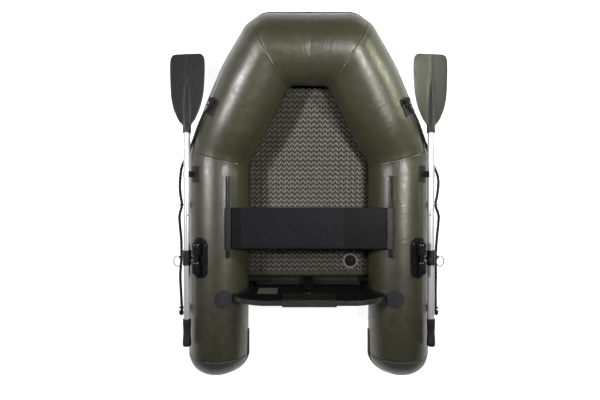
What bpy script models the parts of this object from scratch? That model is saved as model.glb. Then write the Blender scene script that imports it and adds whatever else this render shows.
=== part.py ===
# Inflatable boat with an air deck, a transom, a sliding seat and two stowed oars.
# Metres, +X to starboard, +Y to the bow, +Z up. The boat stands on z = 0 and is centred in plan.

import math

import bmesh
import bpy
from mathutils import Matrix, Vector
from mathutils.bvhtree import BVHTree

for thing in list(bpy.data.objects):
    bpy.data.objects.remove(thing)

# Fits
GAP = 0.0003
RUN = 0.0004
WELD = 0.00001
ROOT = 0.001
DRILL_REACH = 0.05
ROUND_SIDES = 12
FINE_SIDES = 16

# Air tubes, starboard half
TUBE_RADIUS = 0.148
SIDE_X = 0.457
TAIL_SEAM_Y = -0.778
TAIL_LENGTH = 0.1059
TAIL_POWER = 1.8
TAIL_STEPS = 6
SHOULDER_Y = 0.228
BOW_HALF = 0.195
BOW_Y = 0.7201
BOW_RISE = 0.160
BOW_RADIUS = 0.166
SWELL_SHARE = 0.3
SWELL_RADIUS = 0.162
CORNER_BLEND = 0.05
TUBE_WALL = 0.0012
TUBE_SIDES = 24
BAFFLE_DISH = 0.020
BAFFLE_SHAPE = ((0, 1.0), (0.5, 0.75), (1.0, 0))
PLATE_ROWS = (0.55, 0.8, 0.93, 0.985)

# Rub strake
STRAKE_HALF = 0.0175
STRAKE_THICKNESS = 0.0047
STRAKE_CHAMFER = 0.8
STRAKE_START_Y = -0.654

# Deck and bottom
DECK_TOP = 0.087
DECK_THICKNESS = 0.050
DECK_WALL = 0.0012
DECK_FIT = 0.0009
DECK_AFT_Y = -0.4014
DECK_FRONT_Y = 0.572
RISE_HEIGHT = 0.155
RISE_LENGTH = 0.640
RISE_STEPS = 12
DECK_EDGE_TURNS = (45, 80)
SKIN_THICKNESS = 0.0015
SKIN_AFT_Y = -0.445
SKIN_FRONT_Y = 0.6125

# Valves
VALVE_BARREL = 0.016
VALVE_BORE = 0.012
VALVE_DEPTH = 0.030
VALVE_FLANGE = 0.0265
DECK_VALVE_FLANGE = 0.030
FLANGE_THICKNESS = 0.003
CAP_RADIUS = 0.022
CAP_THICKNESS = 0.006
CAP_CHAMFER = 0.002
CAP_STUB = 0.008
CAP_GRIP = (0.030, 0.005, 0.005)
DECK_VALVE_INSET = 0.235
DECK_VALVE_X = SIDE_X - DECK_VALVE_INSET
DECK_VALVE_Y = -0.316
CHAMBER_VALVE_Y = -0.620
CHAMBER_VALVE_ANGLE = 215

# Transom, built upright and then leaned aft
BOARD_HALF = 0.012
BOARD_Y = -0.4467
BOARD_TOP = 0.370
EAR_ANGLE = 125.5
EAR_POINTS = ((0.369, 0.283), (0.340, 0.318), (0.300, 0.345), (0.260, 0.362))
BOARD_TOP_HALF = 0.220
LEAN_SLOPE = 0.1016
LEAN_HEIGHT = 0.070
HOLDER_BASE = 0.003
HOLDER_LEG = 0.0202
HOLDER_WALL = 0.004
HOLDER_END = 220
PATCH_RADIUS = 0.044
PATCH_THICKNESS = 0.003
PATCH_ANGLE = 107.1
PATCH_Y = -0.4755
APRON_THICKNESS = 0.0012
APRON_HALF = 0.274
APRON_LOW = 0.040
APRON_HIGH = 0.100
SADDLE_HALF = 0.127
SADDLE_WALL = 0.004
SADDLE_FRONT_Z = 0.272
SADDLE_BACK_Z = 0.300
TAB_RADIUS = 0.030
BOLT_RADIUS = 0.006
BOLT_HEAD = 0.003
SCREW_RADIUS = 0.0035
SCREW_HEAD = 0.0015
SCREW_SIDES = 8
SCREW_INSET = 0.010
DRAIN_Z = 0.075
DRAIN_TUBE = 0.012
DRAIN_BORE = 0.008
DRAIN_END_Y = -0.4625
HOUSING_HALF = 0.025
HOUSING_DEPTH = 0.029
HOUSING_TIP = 0.004
HOUSING_LOW = 0.055
HOUSING_SHOULDER = 0.095
HOUSING_TOP = 0.190
PLUG_RADIUS = 0.016
PLUG_THICKNESS = 0.008
PLUG_SPIGOT = 0.020
PLUG_CHAMFER = 0.0015
PLATE_WEST = -0.253
PLATE_EAST = -0.156
PLATE_LOW = 0.170
PLATE_HIGH = 0.262
PLATE_THICKNESS = 0.001

# Seat and its rails
RAIL_INSET = 0.066
RAIL_X = SIDE_X - RAIL_INSET
SEAT_INSET = 0.0168
SEAT_HALF = RAIL_X - SEAT_INSET
SEAT_AFT_Y = -0.232
SEAT_LENGTH = 0.199
SEAT_BOTTOM = 0.2868
SEAT_THICKNESS = 0.016
SEAT_BEVEL = 0.003
RAIL_Z = 0.2995
RAIL_BEAD = 0.005
RAIL_WEB_HALF = 0.0015
RAIL_FOOT = 0.0025
RAIL_FOOT_SPREAD = 12.5
RAIL_AFT_Y = -0.276
RAIL_FRONT_Y = 0.120
SLIDER_WALL = 0.0031
SLIDER_FLANGE = 0.003
SLIDER_REACH = 0.024

# Rowlock and oar
ROWLOCK_ANGLE = 60
ROWLOCK_Y = -0.277
PAD_HALF_LENGTH = 0.099
PAD_HALF_WIDTH = 0.040
PAD_CORNER = 0.034
PAD_THICKNESS = 0.005
TILT_HEIGHT = 0.172
LOBE_RADIUS = 0.0225
LOBE_PROFILE = ((0.0, 0.083), (0.0125, 0.0805), (0.0195, 0.073))
LOBE_SHOULDER = 0.062
LOBE_START = 0.016
AXLE_RADIUS = 0.004
AXLE_HALF = 0.070
AXLE_SPACE = 0.002
HUB_RADIUS = 0.0115
STEM_RADIUS = 0.006
STEM_FLANGE = 0.010
STEM_FLANGE_THICKNESS = 0.004
BALL_RADIUS = 0.009
BALL_REACH = 0.1014
BALL_STEPS = 5
RING_RADIUS = 0.022
RING_WIRE = 0.0011
RING_STEPS = 24
RING_HOLE = 0.0026
RING_DEPTH = 0.005
OAR_REACH = 0.060
SHAFT_RADIUS = 0.016
SHAFT_BORE = 0.0147
COLLAR_RADIUS = 0.0205
COLLAR_HALF = 0.0365
SHAFT_AFT_Y = -0.690
JOINT_Y = -0.035
SHAFT_FRONT_Y = 0.390
SPIGOT_LENGTH = 0.070
SPIGOT_BORE = 0.013
GRIP_AFT_Y = -0.708
GRIP_FRONT_Y = -0.574
GRIP_SPACE = 0.002
GRIP_SHAPE = (
    (0.0, 0.0174), (0.03, 0.0199), (0.13, 0.0205), (0.5, 0.0180), (0.8, 0.0195), (0.98, 0.0195), (1.0, 0.0185))
BUTTON_RADIUS = 0.0038
BUTTON_Y = -0.069
BUTTON_ANGLE = 119
BUTTON_STAND = 0.003
BUTTON_LEAF = (0.034, 0.008, 0.001)
BUTTON_LEAF_RISE = 0.0075
BLADE_START_Y = 0.331
BLADE_EDGE = 0.0015
BLADE_SHEET = 0.002
NECK_RADIUS = 0.0200
SOCKET_DEPTH = 0.061
BLADE_WIDTHS = (
    (0.345, 0.0210), (0.370, 0.0355), (0.394, 0.0506), (0.442, 0.0759), (0.491, 0.0900), (0.540, 0.0960),
    (0.637, 0.1000), (0.690, 0.0980), (0.708, 0.0880), (0.716, 0.0700))
RIB_CROWN = 0.46
RIB_FOOT = 0.004
RIB_FLARE = 0.92
RIB_HEIGHTS = ((0.394, 0.0195), (0.450, 0.0130), (0.690, 0.0040), (0.720, 0.0030))

# Oar clips
CLIP_ANGLE = 47.3
CLIP_Y = 0.130
CLIP_HALF_LENGTH = 0.0415
CLIP_HALF_WIDTH = 0.030
CLIP_CORNER = 0.012
CLIP_THICKNESS = 0.003
CLIP_HOOK = 0.030
CLIP_ARM = 0.0035
CLIP_ROOT = 0.004
CLIP_ARM_TOP = 0.178

# Grab lines and their anchors
ROPE_RADIUS = 0.006
ROPE_STEP = 0.030
ROPE_SLACK = 0.0018
KNOT_RADIUS = 0.0145
KNOT_REACH = 0.026
KNOT_SHAPE = ((-0.95, 0.45), (-0.7, 0.75), (0, 1.0), (0.7, 0.75))
ANCHOR_ANGLE = 17
ANCHOR_RADIUS = 0.022
ANCHOR_THICKNESS = 0.004
ANCHOR_WIRE = 0.003
ANCHOR_BEND = 0.012
ANCHOR_LEG = 0.024
ANCHOR_MIDDLE_Y = -0.021
ANCHOR_AFT_Y = -0.535
FRONT_ANCHOR_ANGLE = 46
FRONT_ANCHOR_WAY = 0.235
FRONT_ANCHOR_HALF_LENGTH = 0.042
FRONT_ANCHOR_HALF_WIDTH = 0.030
FRONT_ANCHOR_CORNER = 0.010

UP = Vector((0, 0, 1))
AHEAD = Vector((0, 1, 0))
ABEAM = Vector((1, 0, 0))
MIRROR = Matrix.Diagonal((-1, 1, 1, 1))

BOAT = bpy.data.collections.new("inflatable_boat")
CUTTERS = bpy.data.collections.new("cutters")
bpy.context.scene.collection.children.link(BOAT)
bpy.context.scene.collection.children.link(CUTTERS)


# Mesh tools

def settle(thing, turn_out=True):
    # The object's mesh with its modifiers applied, in world space; the object itself goes
    bpy.context.view_layer.update()
    graph = bpy.context.evaluated_depsgraph_get()
    mesh = bpy.data.meshes.new_from_object(thing.evaluated_get(graph))
    mesh.transform(thing.matrix_world)
    bpy.data.objects.remove(thing)
    work = bmesh.new()
    work.from_mesh(mesh)
    bmesh.ops.remove_doubles(work, verts=work.verts, dist=WELD)
    if turn_out:
        face_outward(work)
    work.to_mesh(mesh)
    work.free()
    return mesh


def face_outward(work):
    bmesh.ops.recalc_face_normals(work, faces=work.faces)
    if work.calc_volume(signed=True) < 0:
        bmesh.ops.reverse_faces(work, faces=work.faces)


def helper(data, place=Matrix()):
    thing = bpy.data.objects.new("helper", data)
    thing.matrix_world = place
    thing.hide_render = True
    thing.display_type = "WIRE"
    CUTTERS.objects.link(thing)
    return thing


def combined(kind, base, *tools):
    for tool in tools:
        body = helper(base)
        other = helper(tool)
        step = body.modifiers.new(kind.lower(), "BOOLEAN")
        step.operation = kind
        step.solver = "EXACT"
        step.object = other
        base = settle(body, turn_out=False)
        bpy.data.objects.remove(other)
    return base


def joined(base, *tools):
    return combined("UNION", base, *tools)


def cut(base, *tools):
    return combined("DIFFERENCE", base, *tools)


def axes(origin, x_axis, z_axis):
    z_axis = Vector(z_axis).normalized()
    x_axis = Vector(x_axis).normalized()
    y_axis = z_axis.cross(x_axis)
    place = Matrix((x_axis, y_axis, z_axis)).transposed().to_4x4()
    place.translation = origin
    return place


def turned(profile, place, steps=ROUND_SIDES, closed=False):
    mesh = bpy.data.meshes.new("profile")
    edges = [(i, i + 1) for i in range(len(profile) - 1)]
    if closed:
        edges.append((len(profile) - 1, 0))
    mesh.from_pydata([(radius, 0, height) for radius, height in profile], edges, [])
    thing = helper(mesh, place)
    screw = thing.modifiers.new("turn", "SCREW")
    screw.steps = steps
    screw.render_steps = steps
    screw.use_merge_vertices = True
    screw.merge_threshold = WELD
    return settle(thing)


def rod(radius, low, high, place, steps=ROUND_SIDES):
    return turned([(0, high), (radius, high), (radius, low), (0, low)], place, steps)


def pipe(outer, inner, low, high, place, steps=FINE_SIDES):
    return turned([(inner, high), (outer, high), (outer, low), (inner, low)], place, steps, closed=True)


def sheet(outline, thickness, place):
    curve = bpy.data.curves.new("outline", "CURVE")
    curve.dimensions = "2D"
    curve.fill_mode = "BOTH"
    curve.extrude = thickness / 2
    spline = curve.splines.new("POLY")
    spline.points.add(len(outline) - 1)
    for point, (x, y) in zip(spline.points, outline):
        point.co = (x, y, 0, 1)
    spline.use_cyclic_u = True
    return settle(helper(curve, place))


def wire(points, radius, swell=None, cyclic=False, resolution=2):
    curve = bpy.data.curves.new("wire", "CURVE")
    curve.dimensions = "3D"
    curve.bevel_depth = radius
    curve.bevel_resolution = resolution
    curve.use_fill_caps = True
    spline = curve.splines.new("POLY")
    spline.points.add(len(points) - 1)
    for index, point in enumerate(points):
        spline.points[index].co = (*point, 1)
        spline.points[index].radius = swell[index] if swell else 1.0
    spline.use_cyclic_u = cyclic
    return settle(helper(curve))


def block(low, high, place=Matrix(), bevel=0.0):
    low = Vector(low)
    high = Vector(high)
    work = bmesh.new()
    bmesh.ops.create_cube(work, size=1)
    bmesh.ops.scale(work, vec=high - low, verts=work.verts)
    bmesh.ops.translate(work, vec=(low + high) / 2, verts=work.verts)
    if bevel:
        bmesh.ops.bevel(work, geom=work.edges, offset=bevel, segments=2, profile=0.5, affect="EDGES")
    mesh = bpy.data.meshes.new("block")
    work.to_mesh(mesh)
    work.free()
    mesh.transform(place)
    return mesh


def loft(rings, around=False):
    work = bmesh.new()
    loops = [[work.verts.new(point) for point in ring] for ring in rings]
    following = loops[1:] + loops[:1] if around else loops[1:]
    for first, second in zip(loops, following):
        for i in range(len(first)):
            j = (i + 1) % len(first)
            work.faces.new((first[i], first[j], second[j], second[i]))
    if not around:
        work.faces.new(loops[0])
        work.faces.new(loops[-1])
    face_outward(work)
    mesh = bpy.data.meshes.new("loft")
    work.to_mesh(mesh)
    work.free()
    return mesh


def arc(centre, radius, start, end, steps):
    angles = [math.radians(start + (end - start) * i / steps) for i in range(steps + 1)]
    return [(centre[0] + radius * math.cos(a), centre[1] + radius * math.sin(a)) for a in angles]


def mirrored_rings(rings):
    return rings + [[MIRROR @ point for point in ring] for ring in reversed(rings[:-1])]


def leaned(mesh):
    for vertex in mesh.vertices:
        vertex.co.y -= LEAN_SLOPE * (vertex.co.z - LEAN_HEIGHT)
    return mesh


# Materials

def material(name, colour, roughness, metallic=0.0):
    paint = bpy.data.materials.new(name)
    paint.use_nodes = True
    shader = paint.node_tree.nodes["Principled BSDF"]
    shader.inputs["Base Color"].default_value = (*colour, 1)
    shader.inputs["Roughness"].default_value = roughness
    shader.inputs["Metallic"].default_value = metallic
    return paint


def add(name, mesh, paint, pivot=(0, 0, 0)):
    mesh.transform(Matrix.Translation(-Vector(pivot)))
    mesh.name = name
    mesh.materials.clear()
    mesh.materials.append(paint)
    mesh.shade_smooth()
    mesh.set_sharp_from_angle(angle=math.radians(32))
    part = bpy.data.objects.new(name, mesh)
    part.location = pivot
    BOAT.objects.link(part)
    return part


def add_pair(name, mesh, paint, pivot=(0, 0, 0)):
    twin = mesh.copy()
    twin.transform(MIRROR)
    twin.flip_normals()
    add("starboard_" + name, mesh, paint, pivot)
    add("port_" + name, twin, paint, MIRROR @ Vector(pivot))


# The line of the starboard tube from its tail seam to the middle of the bow

SHOULDER = Vector((SIDE_X, SHOULDER_Y, TUBE_RADIUS))
BOW_CORNER = Vector((BOW_HALF, BOW_Y, TUBE_RADIUS + BOW_RISE))
KNOTS = [
    Vector((SIDE_X, TAIL_SEAM_Y, TUBE_RADIUS)),
    SHOULDER,
    SHOULDER.lerp(BOW_CORNER, SWELL_SHARE),
    BOW_CORNER,
    Vector((0, BOW_Y, TUBE_RADIUS + BOW_RISE)),
]
RADII = [TUBE_RADIUS, TUBE_RADIUS, SWELL_RADIUS, BOW_RADIUS, BOW_RADIUS]
WAYS = [(after - before).normalized() for before, after in zip(KNOTS, KNOTS[1:])]
STATIONS = [0.0]
for before, after in zip(KNOTS, KNOTS[1:]):
    STATIONS.append(STATIONS[-1] + (after - before).length)
FRAMES = [(ABEAM, UP)]
for before, after in zip(WAYS, WAYS[1:]):
    swing = before.rotation_difference(after)
    FRAMES.append(tuple(swing @ axis for axis in FRAMES[-1]))


def along(points, station):
    # Straight between the knots and a smooth bend within the blend of each inner knot
    def straight(way):
        index = max(i for i in range(len(points) - 1) if i == 0 or way >= STATIONS[i])
        share = (way - STATIONS[index]) / (STATIONS[index + 1] - STATIONS[index])
        return points[index].lerp(points[index + 1], share)
    for index in range(1, len(points) - 1):
        reach = station - STATIONS[index]
        if abs(reach) < CORNER_BLEND:
            share = (reach / CORNER_BLEND + 1) / 2
            before = straight(STATIONS[index] - CORNER_BLEND)
            after = straight(STATIONS[index] + CORNER_BLEND)
            bend = points[index]
            return before.lerp(bend, share).lerp(bend.lerp(after, share), share)
    return straight(station)


def knot_point(index, angle, lift):
    # Point at a knot, in the plane that halves the corner; angle 0 is outboard and 90 is up
    segment = max(index - 1, 0)
    out, up = FRAMES[segment]
    way = WAYS[segment]
    normal = way
    if 0 < index < len(KNOTS) - 1:
        normal = (WAYS[index - 1] + WAYS[index]).normalized()
    turn = math.radians(angle)
    offset = (RADII[index] + lift) * (math.cos(turn) * out + math.sin(turn) * up)
    return KNOTS[index] + offset - way * (offset.dot(normal) / way.dot(normal))


def on_hull(angle, station, lift=0.0):
    return along([knot_point(i, angle, lift) for i in range(len(KNOTS))], station)


def tube_centre(station):
    return along(KNOTS, station)


def tube_radius(station):
    return along([Vector((radius, 0)) for radius in RADII], station).x


def on_tube(angle, station, lift=0.0):
    # Point square off a straight run of the tube, away from its corners
    index = max(i for i in range(len(WAYS)) if i == 0 or station >= STATIONS[i])
    out, up = FRAMES[index]
    turn = math.radians(angle)
    centre = KNOTS[index] + WAYS[index] * (station - STATIONS[index])
    return centre + (tube_radius(station) + lift) * (math.cos(turn) * out + math.sin(turn) * up)


def on_side(angle, y, lift=0.0):
    return on_tube(angle, y - TAIL_SEAM_Y, lift)


def bend_stations(index, shares=(-1, -0.5, 0, 0.5, 1)):
    return [STATIONS[index] + share * CORNER_BLEND for share in shares]


SWELL_STATIONS = bend_stations(2, (-1, 0, 1))
HULL_STATIONS = [STATIONS[0]] + bend_stations(1) + SWELL_STATIONS + bend_stations(3) + [STATIONS[4]]


def tube_rings(stations, lift=0.0):
    angles = [360 * i / TUBE_SIDES for i in range(TUBE_SIDES)]
    return [[on_hull(angle, station, lift) for angle in angles] for station in stations]


def hull_surface():
    points = [point for ring in tube_rings(HULL_STATIONS) for point in ring]
    faces = []
    for ring in range(len(HULL_STATIONS) - 1):
        for side in range(TUBE_SIDES):
            here = ring * TUBE_SIDES + side
            beside = ring * TUBE_SIDES + (side + 1) % TUBE_SIDES
            faces.append((beside, here, here + TUBE_SIDES, beside + TUBE_SIDES))
    return BVHTree.FromPolygons(points, faces)


HULL = hull_surface()


def clear_half(y, z, reach):
    # Half the width at which a point at y and z stays the given reach off the tubes
    low, high = 0.0, SIDE_X
    for _ in range(30):
        middle = (low + high) / 2
        point = Vector((middle, y, z))
        nearest, normal, _, distance = HULL.find_nearest(point)
        if distance > reach and (point - nearest).dot(normal) > 0:
            low = middle
        else:
            high = middle
    return low


def tail(turn, radius=TUBE_RADIUS, length=TAIL_LENGTH):
    # Radius and distance aft on the domed tail; turn 0 is the seam and 90 the tip
    sine = math.sin(math.radians(turn))
    return radius * math.cos(math.radians(turn)), length * sine ** (2 / TAIL_POWER)


# Tubes

def panel(stations):
    return loft(tube_rings(stations) + tube_rings(stations, -TUBE_WALL)[::-1], around=True)


def side_panel():
    half = GAP / 2
    tube = panel([STATIONS[0] + half] + bend_stations(1, (-1, -0.5)) + [STATIONS[1] - half])
    return cut(tube, rod(VALVE_BARREL + RUN, -VALVE_DEPTH, VALVE_DEPTH, CHAMBER_VALVE, FINE_SIDES))


def shoulder_panel():
    half = GAP / 2
    stations = [STATIONS[1] + half] + bend_stations(1, (0.5, 1)) + SWELL_STATIONS
    return panel(stations + bend_stations(3, (-1, -0.5)) + [STATIONS[3] - half])


def bow_panel():
    stations = [STATIONS[3] + GAP / 2] + bend_stations(3, (0.5, 1)) + [STATIONS[4]]
    outer = mirrored_rings(tube_rings(stations))
    inner = mirrored_rings(tube_rings(stations, -TUBE_WALL))
    return loft(outer + inner[::-1], around=True)


def tail_cone():
    turns = [90 * i / TAIL_STEPS for i in range(TAIL_STEPS + 1)]
    outer = [tail(turn) for turn in reversed(turns)]
    inner = [tail(turn, TUBE_RADIUS - TUBE_WALL, TAIL_LENGTH - TUBE_WALL) for turn in turns]
    outer[0] = (0, outer[0][1])
    inner[-1] = (0, inner[-1][1])
    place = axes(KNOTS[0] - AHEAD * GAP / 2, ABEAM, -AHEAD)
    return turned(outer + inner, place, TUBE_SIDES)


def bow_baffle():
    radius = BOW_RADIUS - TUBE_WALL - GAP
    out, up = FRAMES[-1]
    place = axes(KNOTS[-1], out, WAYS[-1])
    dish = [(radius * share, BAFFLE_DISH * height) for share, height in BAFFLE_SHAPE]
    back = [(r, z - TUBE_WALL) for r, z in reversed(dish)]
    return turned(dish + back, place, TUBE_SIDES)


# Rub strake

def offset_path(points, lift):
    moved = []
    for before, here, after in zip(points, points[1:], points[2:]):
        first = (here - before).normalized()
        second = (after - here).normalized()
        way = (first + second).normalized()
        side = Vector((way.y, -way.x, 0))
        moved.append(here + side * lift / way.dot(second))
    return moved


def strake_ring(point_at):
    edge = STRAKE_HALF
    lip = STRAKE_HALF * STRAKE_CHAMFER
    top = GAP + STRAKE_THICKNESS
    spots = ((-edge, GAP), (0, GAP), (edge, GAP), (lip, top), (0, top), (-lip, top))
    return [point_at(height, lift) for height, lift in spots]


def hull_strake(station, base):
    spread = math.degrees(1 / tube_radius(station))
    sign = 1 if base == 0 else -1
    return strake_ring(lambda height, lift: on_hull(base + sign * height * spread, station, lift))


def tail_strake():
    # Round the dome from its inboard to its outboard side
    turns = [90 * i / TAIL_STEPS for i in range(1, TAIL_STEPS + 1)]
    seam = KNOTS[0] - AHEAD * GAP / 2
    outboard = [seam + Vector((radius, -aft, 0)) for radius, aft in map(tail, turns)]
    inboard = [seam + Vector((-radius, -aft, 0)) for radius, aft in map(tail, turns[:-1])]
    sides = [seam - ABEAM * TUBE_RADIUS, seam + ABEAM * TUBE_RADIUS]
    path = [sides[0]] + inboard + outboard[::-1] + [sides[1]]
    rings = []
    for index in range(1, len(path) - 1):
        def point_at(height, lift, index=index):
            return offset_path(path[index - 1:index + 2], lift)[0] + UP * height
        rings.append(strake_ring(point_at))
    return rings


def rub_strake():
    start = STRAKE_START_Y - TAIL_SEAM_Y
    rings = [hull_strake(start, 180), hull_strake(0, 180)]
    rings += tail_strake()
    rings += [hull_strake(station, 0) for station in HULL_STATIONS]
    return loft(mirrored_rings(rings))


# Deck and bottom skin

def deck_top(y):
    return DECK_TOP + RISE_HEIGHT * (max(y, 0) / RISE_LENGTH) ** 2


def rising_rows():
    # Rows from where the deck starts to rise to the start of its rounded front edge
    end = DECK_FRONT_Y - DECK_THICKNESS / 2
    return [end * i / RISE_STEPS for i in range(RISE_STEPS + 1)]


def deck_body(inset):
    # Rounded edges all round, swelling from and to a thin end
    half = DECK_THICKNESS / 2
    radius = half - inset
    aft = DECK_AFT_Y + half
    front = DECK_FRONT_Y - half
    turns = [math.radians(turn) for turn in DECK_EDGE_TURNS]
    edges = [(radius * math.sin(turn), radius * math.cos(turn)) for turn in turns]
    rows = [(aft - reach, height) for reach, height in reversed(edges)]
    rows += [(aft, radius)]
    rows += [(y, radius) for y in rising_rows()]
    rows += [(front + reach, height) for reach, height in edges]
    rings = []
    for y, round_off in rows:
        middle = deck_top(y) - half
        edge = clear_half(min(max(y, aft), front), deck_top(min(y, front)) - half, half + DECK_FIT)
        side = arc((edge, middle), round_off, -90, 90, 4)
        ring = [Vector((x, y, z)) for x, z in side] + [Vector((-x, y, z)) for x, z in reversed(side)]
        rings.append(ring)
    return loft(rings)


def air_deck():
    hole = rod(VALVE_BARREL + RUN, -DECK_THICKNESS / 2, DECK_THICKNESS / 2, DECK_VALVE, FINE_SIDES)
    return cut(deck_body(0), hole, deck_body(DECK_WALL))


def bottom_skin():
    rings = []
    rows = rising_rows()
    nose = [rows[-1] + (SKIN_FRONT_Y - rows[-1]) * share for share in (0.35, 0.7, 1)]
    for y in [SKIN_AFT_Y] + rows + nose:
        top = deck_top(y) - DECK_THICKNESS - GAP
        half = clear_half(y, top, DECK_FIT)
        low = top - SKIN_THICKNESS
        rings.append([Vector(p) for p in ((-half, y, top), (half, y, top), (half, y, low), (-half, y, low))])
    return loft(rings)


# Valves

def valve_body(place, flange):
    top = GAP + FLANGE_THICKNESS
    profile = [
        (VALVE_BORE, top), (flange, top), (flange, GAP), (VALVE_BARREL, GAP),
        (VALVE_BARREL, -VALVE_DEPTH), (VALVE_BORE, -VALVE_DEPTH)]
    return turned(profile, place, FINE_SIDES, closed=True)


def valve_cap(place):
    low = 2 * GAP + FLANGE_THICKNESS
    top = low + CAP_THICKNESS
    stub = VALVE_BORE - GAP
    body = turned([
        (0, top), (CAP_RADIUS - CAP_CHAMFER, top), (CAP_RADIUS, top - CAP_CHAMFER), (CAP_RADIUS, low),
        (stub, low), (stub, low - CAP_STUB), (0, low - CAP_STUB)], place, FINE_SIDES)
    length, width, height = CAP_GRIP
    bar = block((-length / 2, -width / 2, top - ROOT), (length / 2, width / 2, top + height), place)
    return joined(body, bar)


DECK_VALVE = axes((DECK_VALVE_X, DECK_VALVE_Y, DECK_TOP), ABEAM, UP)
CHAMBER_POINT = on_side(CHAMBER_VALVE_ANGLE, CHAMBER_VALVE_Y)
CHAMBER_OUTWARD = on_side(CHAMBER_VALVE_ANGLE, CHAMBER_VALVE_Y, 1) - CHAMBER_POINT
CHAMBER_VALVE = axes(CHAMBER_POINT, AHEAD, CHAMBER_OUTWARD)


# Plates that follow a tube

def hull_plate(angle, station, half_length, half_width, corner, thickness):
    # Rounded plate; rows fall on the tube's own edges too
    radius = tube_radius(station)
    per_metre = math.degrees(1 / radius)
    facet = 360 / TUBE_SIDES
    offsets = {sign * share * half_width for share in PLATE_ROWS for sign in (-1, 1)} | {0.0}
    first = math.ceil((angle - half_width * per_metre) / facet)
    last = math.floor((angle + half_width * per_metre) / facet)
    offsets |= {(number * facet - angle) / per_metre for number in range(first, last + 1)}
    rings = []
    for offset in sorted(offsets):
        inset = max(abs(offset) - (half_width - corner), 0)
        reach = half_length - corner + math.sqrt(max(corner ** 2 - inset ** 2, 0))
        here = angle + offset * per_metre
        low = [on_tube(here, station + way, GAP) for way in (-reach, 0, reach)]
        high = [on_tube(here, station + way, GAP + thickness) for way in (reach, 0, -reach)]
        rings.append(low + high)
    return loft(rings)


# Transom

HOLDER_FLOOR = TUBE_RADIUS + GAP + HOLDER_BASE
BOARD_EDGE = HOLDER_FLOOR + GAP
SKIN_TOP = DECK_TOP - DECK_THICKNESS - GAP
BOARD_LOW = SKIN_TOP + GAP
FRONT = BOARD_HALF + GAP
DRAIN_LINE = axes((0, 0, DRAIN_Z), ABEAM, AHEAD)


def edge_angles(last):
    step = 180 / TUBE_SIDES
    first = math.ceil(EAR_ANGLE / step)
    return [EAR_ANGLE] + [step * i for i in range(first, int(last // step) + 1)] + [last]


def transom_front(outline, low, high):
    # Plate with its outline in X and Z, between two distances ahead of the board's middle
    place = axes((0, BOARD_Y + (low + high) / 2, 0), ABEAM, -AHEAD)
    return leaned(sheet(outline, high - low, place))


def transom_board():
    foot = 180 + math.degrees(math.asin((TUBE_RADIUS - BOARD_LOW) / BOARD_EDGE))
    side = [on_side(angle, 0, BOARD_EDGE - TUBE_RADIUS) for angle in edge_angles(foot)]
    outline = [(point.x, point.z) for point in reversed(side)]
    outline += [*EAR_POINTS, (BOARD_TOP_HALF, BOARD_TOP)]
    outline += [(-x, z) for x, z in reversed(outline)]
    board = transom_front(outline, -BOARD_HALF, BOARD_HALF)
    return cut(board, drain_hole())


def drain_hole():
    return rod(DRAIN_TUBE + RUN, BOARD_Y - DRILL_REACH, BOARD_Y + DRILL_REACH, DRAIN_LINE, FINE_SIDES)


def transom_holder():
    inner = BOARD_HALF + GAP
    outer = inner + HOLDER_WALL
    low = GAP
    floor = GAP + HOLDER_BASE
    top = floor + HOLDER_LEG
    section = [
        (low, -outer), (low, outer), (top, outer), (top, inner),
        (floor, inner), (floor, -inner), (top, -inner), (top, -outer)]
    rings = []
    for angle in edge_angles(HOLDER_END):
        rings.append([on_side(angle, BOARD_Y + y, lift) for lift, y in section])
    return leaned(loft(rings))


def oblong(west, east, low, high):
    return (west, low), (east, low), (east, high), (west, high)


def transom_apron():
    outline = oblong(-APRON_HALF, APRON_HALF, APRON_LOW, APRON_HIGH)
    return cut(transom_front(outline, FRONT, FRONT + APRON_THICKNESS), drain_hole())


def motor_saddle():
    outer = FRONT + SADDLE_WALL
    top = BOARD_TOP + GAP
    section = [
        (outer, SADDLE_FRONT_Z), (outer, top + SADDLE_WALL), (-outer, top + SADDLE_WALL),
        (-outer, SADDLE_BACK_Z), (-FRONT, SADDLE_BACK_Z), (-FRONT, top), (FRONT, top), (FRONT, SADDLE_FRONT_Z)]
    saddle = sheet(section, 2 * SADDLE_HALF, axes((0, BOARD_Y, 0), AHEAD, ABEAM))
    ahead = axes((0, BOARD_Y, SADDLE_FRONT_Z), ABEAM, AHEAD)
    tab = rod(TAB_RADIUS, FRONT, outer, ahead, TUBE_SIDES)
    root = outer - ROOT
    saddle = joined(saddle, tab, rod(BOLT_RADIUS, root, outer + BOLT_HEAD, ahead))
    for side in (-1, 1):
        for height in (SADDLE_FRONT_Z + SCREW_INSET, top - SCREW_INSET):
            spot = axes((side * (SADDLE_HALF - SCREW_INSET), BOARD_Y, height), ABEAM, AHEAD)
            saddle = joined(saddle, rod(SCREW_RADIUS, root, outer + SCREW_HEAD, spot, SCREW_SIDES))
    return leaned(saddle)


def drain_housing():
    back = FRONT + APRON_THICKNESS + GAP
    section = [
        (back, HOUSING_LOW), (back + HOUSING_DEPTH, HOUSING_LOW), (back + HOUSING_DEPTH, HOUSING_SHOULDER),
        (back + HOUSING_TIP, HOUSING_TOP), (back, HOUSING_TOP)]
    wedge = leaned(sheet(section, 2 * HOUSING_HALF, axes((0, BOARD_Y, 0), AHEAD, ABEAM)))
    outlet = rod(DRAIN_TUBE, DRAIN_END_Y, BOARD_Y + back + HOUSING_DEPTH / 2, DRAIN_LINE, FINE_SIDES)
    bore = rod(DRAIN_BORE, DRAIN_END_Y - DRILL_REACH, BOARD_Y + 2 * DRILL_REACH, DRAIN_LINE, FINE_SIDES)
    return cut(joined(wedge, outlet), bore)


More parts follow.
